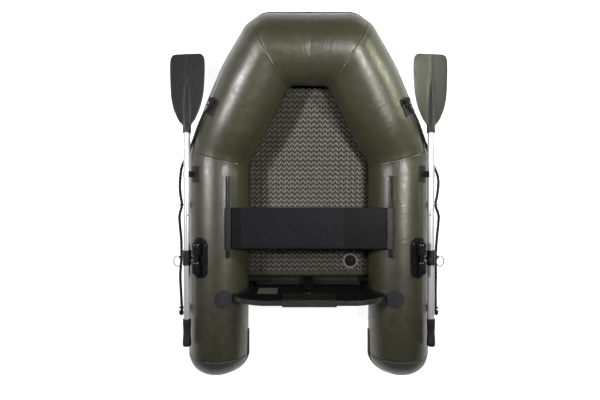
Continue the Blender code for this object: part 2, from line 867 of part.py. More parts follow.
def drain_plug():
    face = DRAIN_END_Y - GAP
    spigot = DRAIN_BORE - GAP
    end = face - PLUG_THICKNESS
    body = turned([
        (0, face + PLUG_SPIGOT), (spigot, face + PLUG_SPIGOT), (spigot, face), (PLUG_RADIUS, face),
        (PLUG_RADIUS, end + PLUG_CHAMFER), (PLUG_RADIUS - PLUG_CHAMFER, end), (0, end)],
        DRAIN_LINE, FINE_SIDES)
    length, width, height = CAP_GRIP
    bar = block((-length / 2, -width / 2, end - height), (length / 2, width / 2, end + ROOT), DRAIN_LINE)
    return joined(body, bar)


def blank_plate():
    outline = oblong(PLATE_WEST, PLATE_EAST, PLATE_LOW, PLATE_HIGH)
    return transom_front(outline, FRONT, FRONT + PLATE_THICKNESS)


# Seat

def seat_board():
    low = (-SEAT_HALF, SEAT_AFT_Y, SEAT_BOTTOM)
    high = (SEAT_HALF, SEAT_AFT_Y + SEAT_LENGTH, SEAT_BOTTOM + SEAT_THICKNESS)
    return block(low, high, bevel=SEAT_BEVEL)


def seat_rail():
    # A foot on the tube, a web and a bead
    centre = (SIDE_X, TUBE_RADIUS)
    low = TUBE_RADIUS + GAP
    high = low + RAIL_FOOT
    middle = 90 + math.degrees(math.asin((SIDE_X - RAIL_X) / high))
    start = middle - RAIL_FOOT_SPREAD
    end = middle + RAIL_FOOT_SPREAD
    web = math.degrees(RAIL_WEB_HALF / high)
    facet = 360 / TUBE_SIDES
    inner = arc(centre, low, start, facet * math.ceil(start / facet), 1)
    inner += arc(centre, low, facet * math.floor(end / facet), end, 1)
    pinch = math.degrees(math.asin(RAIL_WEB_HALF / RAIL_BEAD))
    outline = inner[:2] + [point for point in inner[2:] if point not in inner[:2]]
    outline += arc(centre, high, end, middle + web, 4)
    outline += arc((RAIL_X, RAIL_Z), RAIL_BEAD, 270 - pinch, -90 + pinch, 12)
    outline += arc(centre, high, middle - web, start, 4)
    length = RAIL_FRONT_Y - RAIL_AFT_Y
    return sheet(outline, length, axes((0, RAIL_AFT_Y + length / 2, 0), ABEAM, -AHEAD))


def seat_slider():
    half = RAIL_BEAD + RUN
    slot = RAIL_WEB_HALF + RUN
    outer = half + SLIDER_WALL
    lip = RAIL_Z - half
    roof = RAIL_Z + RAIL_BEAD + GAP
    foot = lip - SLIDER_WALL
    crown = roof + SLIDER_WALL
    flange_top = SEAT_BOTTOM - GAP
    flange_low = flange_top - SLIDER_FLANGE
    inboard = SEAT_HALF - SLIDER_REACH
    side = SEAT_HALF + GAP
    outline = [
        (inboard, flange_low), (RAIL_X - slot, flange_low), (RAIL_X - slot, lip), (RAIL_X - half, lip),
        (RAIL_X - half, roof), (RAIL_X + half, roof), (RAIL_X + half, lip), (RAIL_X + slot, lip),
        (RAIL_X + slot, foot), (RAIL_X + outer, foot), (RAIL_X + outer, crown),
        (side, crown), (side, flange_top), (inboard, flange_top)]
    return sheet(outline, SEAT_LENGTH, axes((0, SEAT_AFT_Y + SEAT_LENGTH / 2, 0), ABEAM, -AHEAD))


# Rowlock; n is measured out from the tube's axis and t across it, outboard and down

LEAN = math.radians(ROWLOCK_ANGLE)
NORMAL = Vector((math.cos(LEAN), 0, math.sin(LEAN)))
ACROSS = Vector((math.sin(LEAN), 0, -math.cos(LEAN)))


def at_rowlock(t, y, n):
    return Vector((SIDE_X, y, TUBE_RADIUS)) + ACROSS * t + NORMAL * n


TILT_POINT = at_rowlock(0, ROWLOCK_Y, TILT_HEIGHT)
OAR_POINT = at_rowlock(OAR_REACH, ROWLOCK_Y, TILT_HEIGHT)
TILT_LINE = axes(TILT_POINT, ACROSS, AHEAD)
STEM_LINE = axes(TILT_POINT, AHEAD, ACROSS)
OAR_LINE = axes(at_rowlock(OAR_REACH, 0, TILT_HEIGHT), ACROSS, AHEAD)


def rowlock_base():
    pad = hull_plate(
        ROWLOCK_ANGLE, ROWLOCK_Y - TAIL_SEAM_Y, PAD_HALF_LENGTH, PAD_HALF_WIDTH, PAD_CORNER, PAD_THICKNESS)
    side = [(radius, reach) for radius, reach in LOBE_PROFILE]
    side += [(LOBE_RADIUS, LOBE_SHOULDER), (LOBE_RADIUS, LOBE_START), (0, LOBE_START)]
    fore = turned(side, TILT_LINE)
    aft = turned([(radius, -reach) for radius, reach in side], TILT_LINE)
    depth = AXLE_HALF + AXLE_SPACE
    return cut(joined(pad, fore, aft), rod(AXLE_RADIUS + GAP, -depth, depth, TILT_LINE))


def rowlock_pin():
    hub = LOBE_START - GAP
    axle = turned([
        (0, AXLE_HALF), (AXLE_RADIUS, AXLE_HALF), (AXLE_RADIUS, hub), (HUB_RADIUS, hub),
        (HUB_RADIUS, -hub), (AXLE_RADIUS, -hub), (AXLE_RADIUS, -AXLE_HALF), (0, -AXLE_HALF)], TILT_LINE)
    flange_top = OAR_REACH - COLLAR_RADIUS - GAP
    flange_low = flange_top - STEM_FLANGE_THICKNESS
    neck = 180 - math.degrees(math.asin(STEM_RADIUS / BALL_RADIUS))
    ball = []
    for step in range(BALL_STEPS + 1):
        turn = math.radians(neck * step / BALL_STEPS)
        ball.append((BALL_RADIUS * math.sin(turn), BALL_REACH + BALL_RADIUS * math.cos(turn)))
    stem = turned(ball + [
        (STEM_RADIUS, flange_top), (STEM_FLANGE, flange_top), (STEM_FLANGE, flange_low),
        (STEM_RADIUS, flange_low), (STEM_RADIUS, 0), (0, 0)], STEM_LINE)
    return cut(joined(axle, stem), rod(RING_HOLE, -BALL_REACH / 4, BALL_REACH / 4, RING_LINE))


BALL_POINT = at_rowlock(BALL_REACH, ROWLOCK_Y, TILT_HEIGHT)
RING_AWAY = (ACROSS - AHEAD).normalized()
RING_AXIS = (ACROSS + AHEAD).normalized()
RING_SAG = (BALL_RADIUS ** 2 - RING_DEPTH ** 2) / (4 * RING_RADIUS)
RING_POINT = BALL_POINT + RING_AWAY * (RING_DEPTH + RING_SAG)
RING_LINE = axes(RING_POINT, RING_AWAY, RING_AXIS)


def retaining_ring():
    centre = BALL_POINT + RING_AWAY * (RING_DEPTH + RING_RADIUS)
    turns = [math.tau * i / RING_STEPS for i in range(RING_STEPS)]
    loop = [centre + RING_RADIUS * (math.cos(a) * RING_AWAY + math.sin(a) * RING_AXIS) for a in turns]
    return wire(loop, RING_WIRE, cyclic=True, resolution=1)


# Oar

def pin_hole():
    return rod(STEM_RADIUS + RUN, -DRILL_REACH, DRILL_REACH, axes(OAR_POINT, AHEAD, ACROSS))


def button_line():
    turn = math.radians(BUTTON_ANGLE)
    outward = Vector((math.cos(turn), 0, math.sin(turn)))
    return axes(at_rowlock(OAR_REACH, BUTTON_Y, TILT_HEIGHT), AHEAD, outward)


def button_hole():
    return rod(BUTTON_RADIUS + RUN, 0, DRILL_REACH, button_line())


def oar_collar():
    low = ROWLOCK_Y - COLLAR_HALF
    high = ROWLOCK_Y + COLLAR_HALF
    return cut(pipe(COLLAR_RADIUS, SHAFT_RADIUS + GAP, low, high, OAR_LINE), pin_hole())


def shaft_upper():
    tube = pipe(SHAFT_RADIUS, SHAFT_BORE, SHAFT_AFT_Y, JOINT_Y - GAP / 2, OAR_LINE)
    return cut(tube, pin_hole(), button_hole())


def shaft_lower():
    step = JOINT_Y + GAP / 2
    spigot = SHAFT_BORE - RUN
    profile = [
        (SPIGOT_BORE, SHAFT_FRONT_Y), (SHAFT_RADIUS, SHAFT_FRONT_Y), (SHAFT_RADIUS, step), (spigot, step),
        (spigot, step - SPIGOT_LENGTH), (SPIGOT_BORE, step - SPIGOT_LENGTH)]
    return cut(turned(profile, OAR_LINE, FINE_SIDES, closed=True), button_hole())


def snap_button():
    place = button_line()
    length, width, thickness = BUTTON_LEAF
    leaf_top = BUTTON_LEAF_RISE + thickness
    pin = rod(BUTTON_RADIUS, leaf_top - thickness / 2, SHAFT_RADIUS + BUTTON_STAND, place)
    leaf = block((-width / 2, -width / 2, BUTTON_LEAF_RISE), (length - width / 2, width / 2, leaf_top), place)
    return joined(pin, leaf)


def grip():
    bore = SHAFT_RADIUS + GAP
    length = GRIP_FRONT_Y - GRIP_AFT_Y
    end = SHAFT_AFT_Y - GRIP_SPACE
    outer = [(radius, GRIP_AFT_Y + length * share) for share, radius in GRIP_SHAPE]
    profile = [(0, GRIP_AFT_Y)] + outer + [(bore, GRIP_FRONT_Y), (bore, end), (0, end)]
    return turned(profile, OAR_LINE, FINE_SIDES)


def interpolated(table, y):
    if y <= table[0][0]:
        return table[0][1]
    for (first, low), (last, high) in zip(table, table[1:]):
        if y <= last:
            return low + (high - low) * (y - first) / (last - first)
    return table[-1][1]


def blade_section(y, half_width):
    # A flat section with a rib down its middle, or the round neck, or a blend of the two
    rib = interpolated(RIB_HEIGHTS, y)
    crown = rib * RIB_CROWN
    foot = RIB_FOOT + rib * RIB_FLARE
    quarter = [(half_width, BLADE_EDGE), (min(foot, half_width), BLADE_SHEET), (crown, rib)]
    flat = quarter + [(-t, n) for t, n in reversed(quarter)]
    flat += [(t, -n) for t, n in reversed(flat)]
    turns = [math.radians(15 + 30 * i) for i in range(12)]
    neck = [(NECK_RADIUS * math.cos(a), NECK_RADIUS * math.sin(a)) for a in turns]
    start, end = BLADE_WIDTHS[0][0], BLADE_WIDTHS[2][0]
    share = min(max((y - start) / (end - start), 0), 1)
    points = []
    for (t0, n0), (t1, n1) in zip(neck, flat):
        points.append(at_rowlock(OAR_REACH + t0 + (t1 - t0) * share, y, TILT_HEIGHT + n0 + (n1 - n0) * share))
    return points


def blade():
    rings = [blade_section(y, half_width) for y, half_width in ((BLADE_START_Y, NECK_RADIUS), *BLADE_WIDTHS)]
    start = BLADE_START_Y - DRILL_REACH
    socket = rod(SHAFT_RADIUS + GAP, start, BLADE_START_Y + SOCKET_DEPTH, OAR_LINE, FINE_SIDES)
    return cut(loft(rings), socket)


def oar_clip():
    plate = hull_plate(
        CLIP_ANGLE, CLIP_Y - TAIL_SEAM_Y, CLIP_HALF_LENGTH, CLIP_HALF_WIDTH, CLIP_CORNER, CLIP_THICKNESS)
    inner = SHAFT_RADIUS + RUN
    outer = inner + CLIP_ARM
    seat = (OAR_REACH, TILT_HEIGHT)
    inboard = OAR_REACH - outer
    root = math.sqrt((TUBE_RADIUS + CLIP_THICKNESS / 2) ** 2 - inboard ** 2)
    outline = [(inboard, root), (OAR_REACH - CLIP_ROOT, root)]
    outline += arc(seat, outer, -60, 0, 3) + [(OAR_REACH + outer, CLIP_ARM_TOP)]
    outline += [(OAR_REACH + inner, CLIP_ARM_TOP)] + arc(seat, inner, 0, -180, 12)
    outline += [(OAR_REACH - inner, CLIP_ARM_TOP), (inboard, CLIP_ARM_TOP)]
    hook = sheet(outline, CLIP_HOOK, axes((SIDE_X, CLIP_Y, TUBE_RADIUS), ACROSS, -AHEAD))
    return joined(plate, hook)


# Grab lines

def anchor_loop(angle, station, leg):
    # A wire loop that stands on the tube, across the way that the line runs
    foot = on_tube(angle, station)
    outward = (on_tube(angle, station, 1) - foot).normalized()
    aside = (on_tube(angle + 1, station) - on_tube(angle - 1, station)).normalized()
    low = GAP + ANCHOR_WIRE + ANCHOR_BEND
    outline = arc((0, low), ANCHOR_BEND, 180, 360, 5) + arc((0, low + leg), ANCHOR_BEND, 0, 180, 5)
    return wire([foot + aside * u + outward * v for u, v in outline], ANCHOR_WIRE, cyclic=True, resolution=1)


def anchor_hold(leg):
    # Lift of the line's middle where it runs through a loop
    return GAP + ANCHOR_WIRE + ANCHOR_BEND + leg + ANCHOR_BEND - ANCHOR_WIRE - ROPE_RADIUS - ROPE_SLACK


def side_anchor(y):
    station = y - TAIL_SEAM_Y
    disc = hull_plate(ANCHOR_ANGLE, station, ANCHOR_RADIUS, ANCHOR_RADIUS, ANCHOR_RADIUS, ANCHOR_THICKNESS)
    return joined(disc, anchor_loop(ANCHOR_ANGLE, station, ANCHOR_LEG))


def front_anchor():
    station = STATIONS[1] + FRONT_ANCHOR_WAY
    plate = hull_plate(
        FRONT_ANCHOR_ANGLE, station, FRONT_ANCHOR_HALF_LENGTH, FRONT_ANCHOR_HALF_WIDTH,
        FRONT_ANCHOR_CORNER, ANCHOR_THICKNESS)
    return joined(plate, anchor_loop(FRONT_ANCHOR_ANGLE, station, 0))


def front_route():
    # From the knot ahead of the front anchor to the shoulder
    here = STATIONS[1]
    hold = anchor_hold(0)
    return [
        on_tube(FRONT_ANCHOR_ANGLE + 1, here + FRONT_ANCHOR_WAY + KNOT_REACH, hold + 0.004),
        on_tube(FRONT_ANCHOR_ANGLE, here + FRONT_ANCHOR_WAY, hold),
        on_tube(38, here + 0.185, 0.010),
        on_tube(31, here + 0.130, 0.0075),
        on_tube(29, here + 0.070, 0.0075),
        on_tube(29, here + 0.010, 0.0080),
    ]


def middle_hold(y):
    return on_side(ANCHOR_ANGLE, y, anchor_hold(ANCHOR_LEG))


def beside_tube(out, y, rise):
    return Vector((SIDE_X + out, y, TUBE_RADIUS + rise))


STARBOARD_ROUTE = front_route() + [
    beside_tube(0.1680, 0.180, 0.057),
    beside_tube(0.1910, 0.130, 0.048),
    beside_tube(0.1970, 0.085, 0.045),
    beside_tube(0.1895, 0.028, 0.049),
    middle_hold(ANCHOR_MIDDLE_Y),
    beside_tube(0.1960, -0.070, 0.049),
    beside_tube(0.1975, -0.110, 0.043),
    beside_tube(0.1906, -0.198, 0.038),
    beside_tube(0.1860, -0.284, 0.036),
    beside_tube(0.1860, -0.375, 0.038),
    beside_tube(0.1830, -0.450, 0.044),
    middle_hold(ANCHOR_AFT_Y),
    middle_hold(ANCHOR_AFT_Y) - AHEAD * KNOT_REACH,
]
PORT_ROUTE = front_route() + [
    beside_tube(0.1760, 0.180, 0.057),
    beside_tube(0.1890, 0.120, 0.048),
    beside_tube(0.1920, 0.070, 0.046),
    beside_tube(0.1870, 0.026, 0.051),
    middle_hold(ANCHOR_MIDDLE_Y),
    beside_tube(0.1930, -0.075, 0.048),
    beside_tube(0.1920, -0.130, 0.042),
    beside_tube(0.1870, -0.198, 0.038),
    beside_tube(0.1870, -0.284, 0.036),
    beside_tube(0.1920, -0.375, 0.038),
    beside_tube(0.1870, -0.455, 0.044),
    middle_hold(ANCHOR_AFT_Y),
    middle_hold(ANCHOR_AFT_Y) - AHEAD * KNOT_REACH,
]


def smooth_route(route):
    # Points every rope step on a smooth curve through the chosen points
    points = [route[0]]
    ends = [2 * route[0] - route[1]] + route + [2 * route[-1] - route[-2]]
    for before, start, end, after in zip(ends, ends[1:], ends[2:], ends[3:]):
        count = max(1, round((end - start).length / ROPE_STEP))
        for step in range(1, count + 1):
            s = step / count
            points.append(0.5 * (
                2 * start + (end - before) * s + (2 * before - 5 * start + 4 * end - after) * s ** 2
                + (3 * start - before - 3 * end + after) * s ** 3))
    return points


def grab_line(route):
    # The rope with a knot at each end
    points = smooth_route(route)
    swell = [1.0] * len(points)
    bulge = KNOT_RADIUS / ROPE_RADIUS
    for end, inward in ((0, 1), (-1, -2)):
        knot = points[end]
        way = (points[inward] - knot).normalized()
        spots = [knot + way * share * KNOT_RADIUS for share, size in KNOT_SHAPE]
        sizes = [bulge * size for share, size in KNOT_SHAPE]
        spots.append(knot + way * KNOT_RADIUS)
        sizes.append(1.0)
        if end == 0:
            points = spots + points[1:]
            swell = sizes + swell[1:]
        else:
            points = points[:-1] + spots[::-1]
            swell = swell[:-1] + sizes[::-1]
    return wire(points, ROPE_RADIUS, swell)


# The whole boat

def build():
    olive = material("hull_fabric", (0.075, 0.070, 0.042), 0.42)
    grey_green = material("tail_fabric", (0.085, 0.082, 0.062), 0.45)
    deck = material("deck_fabric", (0.150, 0.145, 0.115), 0.70)
    bottom = material("bottom_fabric", (0.060, 0.060, 0.050), 0.60)
    strake = material("strake_rubber", (0.012, 0.012, 0.012), 0.55)
    black = material("black_plastic", (0.016, 0.016, 0.017), 0.40)
    board = material("coated_board", (0.020, 0.020, 0.021), 0.45)
    apron = material("apron_fabric", (0.090, 0.090, 0.088), 0.50)
    silver = material("blank_label", (0.180, 0.175, 0.160), 0.40)
    shaft = material("shaft_aluminium", (0.800, 0.800, 0.810), 0.25, 1.0)
    steel = material("steel_wire", (0.600, 0.600, 0.600), 0.25, 1.0)
    blade_paint = material("blade_plastic", (0.030, 0.032, 0.032), 0.45)
    rope = material("rope", (0.015, 0.015, 0.015), 0.80)

    add("bow_panel", bow_panel(), olive)
    add_pair("shoulder_panel", shoulder_panel(), olive)
    add_pair("side_panel", side_panel(), olive)
    add_pair("tail_cone", tail_cone(), grey_green)
    add("bow_baffle", bow_baffle(), olive)
    add("rub_strake", rub_strake(), strake)
    add("bottom_skin", bottom_skin(), bottom)
    add("air_deck", air_deck(), deck)

    add("deck_valve_body", valve_body(DECK_VALVE, DECK_VALVE_FLANGE), black)
    add("deck_valve_cap", valve_cap(DECK_VALVE), black, DECK_VALVE.translation)
    add_pair("valve_body", valve_body(CHAMBER_VALVE, VALVE_FLANGE), black)
    add_pair("valve_cap", valve_cap(CHAMBER_VALVE), black, CHAMBER_VALVE.translation)

    add("transom_board", transom_board(), board)
    add_pair("transom_holder", transom_holder(), black)
    patch_station = PATCH_Y - TAIL_SEAM_Y
    patch = hull_plate(PATCH_ANGLE, patch_station, PATCH_RADIUS, PATCH_RADIUS, PATCH_RADIUS, PATCH_THICKNESS)
    add_pair("transom_patch", patch, black)
    add("transom_apron", transom_apron(), apron)
    add("motor_saddle", motor_saddle(), black)
    add("drain_housing", drain_housing(), black)
    add("drain_plug", drain_plug(), black, (0, DRAIN_END_Y, DRAIN_Z))
    add("blank_plate", blank_plate(), silver)

    add("seat_board", seat_board(), board, (0, SEAT_AFT_Y, SEAT_BOTTOM))
    add_pair("seat_rail", seat_rail(), black)
    add_pair("seat_slider", seat_slider(), black, (RAIL_X, SEAT_AFT_Y, RAIL_Z))

    add_pair("rowlock_base", rowlock_base(), black)
    add_pair("rowlock_pin", rowlock_pin(), black, TILT_POINT)
    add_pair("retaining_ring", retaining_ring(), steel, RING_POINT)
    add_pair("oar_collar", oar_collar(), black, OAR_POINT)
    add_pair("shaft_upper", shaft_upper(), shaft, OAR_POINT)
    add_pair("shaft_lower", shaft_lower(), shaft, OAR_POINT)
    add_pair("blade", blade(), blade_paint, OAR_POINT)
    add_pair("grip", grip(), black, OAR_POINT)
    add_pair("snap_button", snap_button(), steel, button_line().translation)
    add_pair("oar_clip", oar_clip(), black)

    add_pair("front_anchor", front_anchor(), black)
    add_pair("middle_anchor", side_anchor(ANCHOR_MIDDLE_Y), black)
    add_pair("aft_anchor", side_anchor(ANCHOR_AFT_Y), black)
    add("starboard_grab_line", grab_line(STARBOARD_ROUTE), rope)
    port_line = grab_line(PORT_ROUTE)
    port_line.transform(MIRROR)
    port_line.flip_normals()
    add("port_grab_line", port_line, rope)


build()
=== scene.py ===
import math

import bmesh
import bpy
from mathutils import Matrix, Vector, noise
from mathutils.bvhtree import BVHTree


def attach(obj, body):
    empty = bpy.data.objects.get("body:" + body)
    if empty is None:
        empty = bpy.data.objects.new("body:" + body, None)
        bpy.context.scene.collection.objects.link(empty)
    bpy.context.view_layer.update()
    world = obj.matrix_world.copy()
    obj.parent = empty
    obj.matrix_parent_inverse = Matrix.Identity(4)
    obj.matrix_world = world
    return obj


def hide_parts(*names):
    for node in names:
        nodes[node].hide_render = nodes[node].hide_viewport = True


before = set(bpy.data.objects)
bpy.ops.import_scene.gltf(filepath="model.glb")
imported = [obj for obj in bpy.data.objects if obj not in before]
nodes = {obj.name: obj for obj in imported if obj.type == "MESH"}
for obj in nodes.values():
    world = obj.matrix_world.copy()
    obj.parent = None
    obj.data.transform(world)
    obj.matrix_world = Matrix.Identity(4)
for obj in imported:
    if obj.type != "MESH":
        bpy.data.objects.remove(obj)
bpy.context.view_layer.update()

up = Vector((0, 0, 1))
ahead = Vector((0, 1, 0))
abeam = Vector((1, 0, 0))


# camera and light, for a photograph that is taken from straight above

cameraSet = {"place": (-0.0437, 0.004, 2.45), "lens": 26.86, "sensor": 36.0, "nearest": 0.01}
floorSet = {"half": 14.0, "colour": (0.80, 0.80, 0.79), "roughness": 0.8, "glow": 0.91}
worldSet = {"colour": (0.92, 0.95, 1.0), "strength": 0.06}
lampSet = {
    "aim": (0, 0.55, 0.25), "spread": 95,
    # name, place, size, power, colour
    "lamps": (
        ("portKey", (-1.96, 0.45, 2.38), (0.46, 0.44), 16.5, (1, 1, 1)),
        ("starboardKey", (1.08, 0.28, 2.72), (0.34, 0.36), 16, (1, 0.99, 0.95)),
        ("lowSide", (2.60, 1.20, 1.36), (0.26, 0.50), 9, (0.95, 1, 0.74))),
}
# the middle of the deck is lit through a gap between cards that hang over the boat
beamSet = {
    "lean": (30, 6), "angle": 0.12, "strength": 3.4, "place": (0, 0.8, 6), "height": 5.0, "deckLevel": 0.11,
    "long": 5.0, "deep": 2.6, "colour": (0.02, 0.02, 0.02), "glow": 0.06,
    "corners": ((-0.2126, -0.40), (-0.219, 0.152), (0.049, 0.515), (0.277, 0.188), (0.278, -0.40)),
    "aftEdge": ((0.278, -0.24), (-0.2126, -0.24)),
}


def addThing(name, data):
    thing = bpy.data.objects.new(name, data)
    bpy.context.scene.collection.objects.link(thing)
    return thing


def meshFrom(work, name, *materials):
    mesh = bpy.data.meshes.new(name)
    work.to_mesh(mesh)
    work.free()
    for material in materials:
        mesh.materials.append(material)
    return mesh


def axes(origin, xAxis, zAxis):
    zAxis = Vector(zAxis).normalized()
    xAxis = Vector(xAxis).normalized()
    place = Matrix((xAxis, zAxis.cross(xAxis), zAxis)).transposed().to_4x4()
    place.translation = origin
    return place


def addCamera():
    camera = addThing("camera", bpy.data.cameras.new("camera"))
    camera.location = cameraSet["place"]
    camera.data.lens = cameraSet["lens"]
    camera.data.sensor_width = cameraSet["sensor"]
    camera.data.clip_start = cameraSet["nearest"]
    bpy.context.scene.camera = camera


def addLamps():
    for name, place, size, power, colour in lampSet["lamps"]:
        data = bpy.data.lights.new(name, "AREA")
        data.shape = "RECTANGLE"
        data.size, data.size_y = size
        data.energy = power
        data.color = colour
        data.spread = math.radians(lampSet["spread"])
        lamp = addThing(name, data)
        lamp.location = place
        lamp.rotation_euler = (Vector(lampSet["aim"]) - Vector(place)).to_track_quat("-Z", "Y").to_euler()


def addBeam():
    # a distant lamp from above, to port and a little ahead, and five cards that leave its gap open
    s = beamSet
    toStarboard, aft = (math.tan(math.radians(lean)) for lean in s["lean"])
    down = Vector((toStarboard, -aft, -1)).normalized()
    data = bpy.data.lights.new("beam", "SUN")
    data.energy = s["strength"]
    data.angle = math.radians(s["angle"])
    beam = addThing("beam", data)
    beam.location = s["place"]
    beam.visible_glossy = False
    beam.rotation_euler = down.to_track_quat("-Z", "Y").to_euler()
    material = bpy.data.materials.new("beamCard")
    material.use_nodes = True
    shader = material.node_tree.nodes["Principled BSDF"].inputs
    shader["Base Color"].default_value = (*s["colour"], 1)
    shader["Emission Color"].default_value = (1, 1, 1, 1)
    shader["Emission Strength"].default_value = s["glow"]
    rise = down * ((s["height"] - s["deckLevel"]) / down.z)
    edges = [*zip(s["corners"], s["corners"][1:]), s["aftEdge"]]
    for number, ends in enumerate(edges):
        first, last = (Vector((*end, s["deckLevel"])) + rise for end in ends)
        way = (last - first).normalized()
        outward = Vector((-way.y, way.x, 0))
        work = bmesh.new()
        bmesh.ops.create_grid(work, x_segments=1, y_segments=1, size=0.5)
        bmesh.ops.scale(work, vec=(s["long"], s["deep"], 1), verts=work.verts)
        place = axes((first + last) / 2 + outward * s["deep"] / 2, way, up)
        bmesh.ops.transform(work, matrix=place, verts=work.verts)
        addThing(f"card{number}", meshFrom(work, f"card{number}", material))


# shader tools

def link(tree, source, socket):
    if hasattr(source, "is_output"):
        tree.links.new(source, socket)
    else:
        socket.default_value = source


def sums(tree, operation, *values, kind="ShaderNodeMath"):
    node = tree.nodes.new(kind)
    node.operation = operation
    for socket, value in zip(node.inputs, values):
        link(tree, value, socket)
    return node.outputs[0]


def times(tree, first, second):
    return sums(tree, "MULTIPLY", first, second)


def stretched(tree, place, factors):
    return sums(tree, "MULTIPLY", place, factors, kind="ShaderNodeVectorMath")


def mixed(tree, factor, first, second):
    node = tree.nodes.new("ShaderNodeMix")
    node.data_type = "RGBA"
    for number, value in ((0, factor), (6, first), (7, second)):
        link(tree, value, node.inputs[number])
    return node.outputs[2]


def ranged(tree, value, low, high, toLow=0.0, toHigh=1.0):
    node = tree.nodes.new("ShaderNodeMapRange")
    for socket, number in zip(node.inputs, (value, low, high, toLow, toHigh)):
        link(tree, number, socket)
    return node.outputs[0]


def clouds(tree, place, scale, detail=2.0, roughness=0.5):
    node = tree.nodes.new("ShaderNodeTexNoise")
    link(tree, place, node.inputs["Vector"])
    link(tree, scale, node.inputs["Scale"])
    node.inputs["Detail"].default_value = detail
    node.inputs["Roughness"].default_value = roughness
    return node.outputs[0]


def placeIn(tree, space="Object"):
    return tree.nodes.new("ShaderNodeTexCoord").outputs[space]


def parted(tree, vector):
    parts = tree.nodes.new("ShaderNodeSeparateXYZ")
    tree.links.new(vector, parts.inputs[0])
    return parts.outputs


def newGroup(name, inputs, outputs):
    group = bpy.data.node_groups.new(name, "ShaderNodeTree")
    for label, kind, value in inputs:
        socket = group.interface.new_socket(label, in_out="INPUT", socket_type="NodeSocket" + kind)
        if value is not None:
            socket.default_value = value
    for label, kind in outputs:
        group.interface.new_socket(label, in_out="OUTPUT", socket_type="NodeSocket" + kind)
    return group, group.nodes.new("NodeGroupInput").outputs, group.nodes.new("NodeGroupOutput").inputs


def placed(tree, group, **values):
    node = tree.nodes.new("ShaderNodeGroup")
    node.node_tree = group
    for label, value in values.items():
        link(tree, value, node.inputs[label])
    return node.outputs


def makeToneGroup():
    # slow drift of tone over a surface
    group, given, out = newGroup(
        "toneDrift",
        [("Base", "Color", None), ("Tint", "Color", None), ("Scale", "Float", 8.0), ("Amount", "Float", 0.3)],
        [("Colour", "Color")])
    slow = clouds(group, placeIn(group), given["Scale"], 3.0, 0.6)
    share = times(group, ranged(group, slow, 0.35, 0.65), given["Amount"])
    group.links.new(mixed(group, share, given["Base"], given["Tint"]), out["Colour"])
    return group


def makeGrainGroup():
    # fine moulded or rolled grain: a height, and a mask that moves the roughness
    group, given, out = newGroup(
        "mouldedGrain", [("Scale", "Float", 900.0), ("Coarse", "Float", 60.0)],
        [("Height", "Float"), ("Mask", "Float")])
    place = placeIn(group)
    fine = clouds(group, place, given["Scale"], 2.0)
    wide = clouds(group, place, given["Coarse"], 3.0, 0.6)
    group.links.new(sums(group, "MULTIPLY_ADD", wide, 0.6, times(group, fine, 0.4)), out["Height"])
    group.links.new(ranged(group, wide, 0.3, 0.7), out["Mask"])
    return group


def makeDustGroup():
    # thin dust that settles on faces that look up
    group, given, out = newGroup(
        "settledDust",
        [("Base", "Color", None), ("Dust", "Color", (0.32, 0.31, 0.28, 1)), ("Amount", "Float", 0.1)],
        [("Colour", "Color"), ("Mask", "Float")])
    facing = parted(group, group.nodes.new("ShaderNodeNewGeometry").outputs["Normal"])[2]
    speck = ranged(group, clouds(group, placeIn(group), 46.0, 6.0, 0.75), 0.45, 0.75)
    mask = times(group, times(group, ranged(group, facing, 0.3, 1.0), speck), given["Amount"])
    group.links.new(mixed(group, mask, given["Base"], given["Dust"]), out["Colour"])
    group.links.new(mask, out["Mask"])
    return group


toneGroup = makeToneGroup()
grainGroup = makeGrainGroup()
dustGroup = makeDustGroup()


def startMaterial(name, look):
    material = bpy.data.materials.new(name)
    material.use_nodes = True
    tree = material.node_tree
    shader = tree.nodes["Principled BSDF"].inputs
    shader["Roughness"].default_value = look["roughness"]
    shader["Metallic"].default_value = look.get("metal", 0.0)
    shader["Specular IOR Level"].default_value = look.get("specular", 0.5)
    return material, tree, shader


def bump(tree, shader, height, look):
    node = tree.nodes.new("ShaderNodeBump")
    node.inputs["Strength"].default_value = look["relief"]
    node.inputs["Distance"].default_value = look["depth"]
    tree.links.new(height, node.inputs["Height"])
    tree.links.new(node.outputs[0], shader["Normal"])


def dustyBase(tree, shader, look, tint):
    tone = placed(
        tree, toneGroup, Base=(*look["colour"], 1), Tint=(*tint, 1), Scale=look["drift"],
        Amount=look["amount"])
    dust = placed(tree, dustGroup, Base=tone["Colour"], Amount=look["dust"])
    tree.links.new(dust["Colour"], shader["Base Color"])


# what a grainy finish has where its own look says nothing
plainGrain = {
    "tintGain": 1.5, "drift": 12.0, "amount": 0.5, "dust": 0.05, "grain": 900.0, "coarse": 70.0,
    "specular": 0.35, "spread": 0.08, "relief": 0.25, "depth": 0.0004,
}


def grainyMaterial(name, ownLook):
    # moulded plastic, rubber or coated board
    look = {**plainGrain, **ownLook}
    material, tree, shader = startMaterial(name, look)
    dustyBase(tree, shader, look, [value * look["tintGain"] for value in look["colour"]])
    grain = placed(tree, grainGroup, Scale=look["grain"], Coarse=look["coarse"])
    ends = look["roughness"] - look["spread"], look["roughness"] + look["spread"]
    tree.links.new(ranged(tree, grain["Mask"], 0.0, 1.0, *ends), shader["Roughness"])
    bump(tree, shader, grain["Height"], look)
    return material


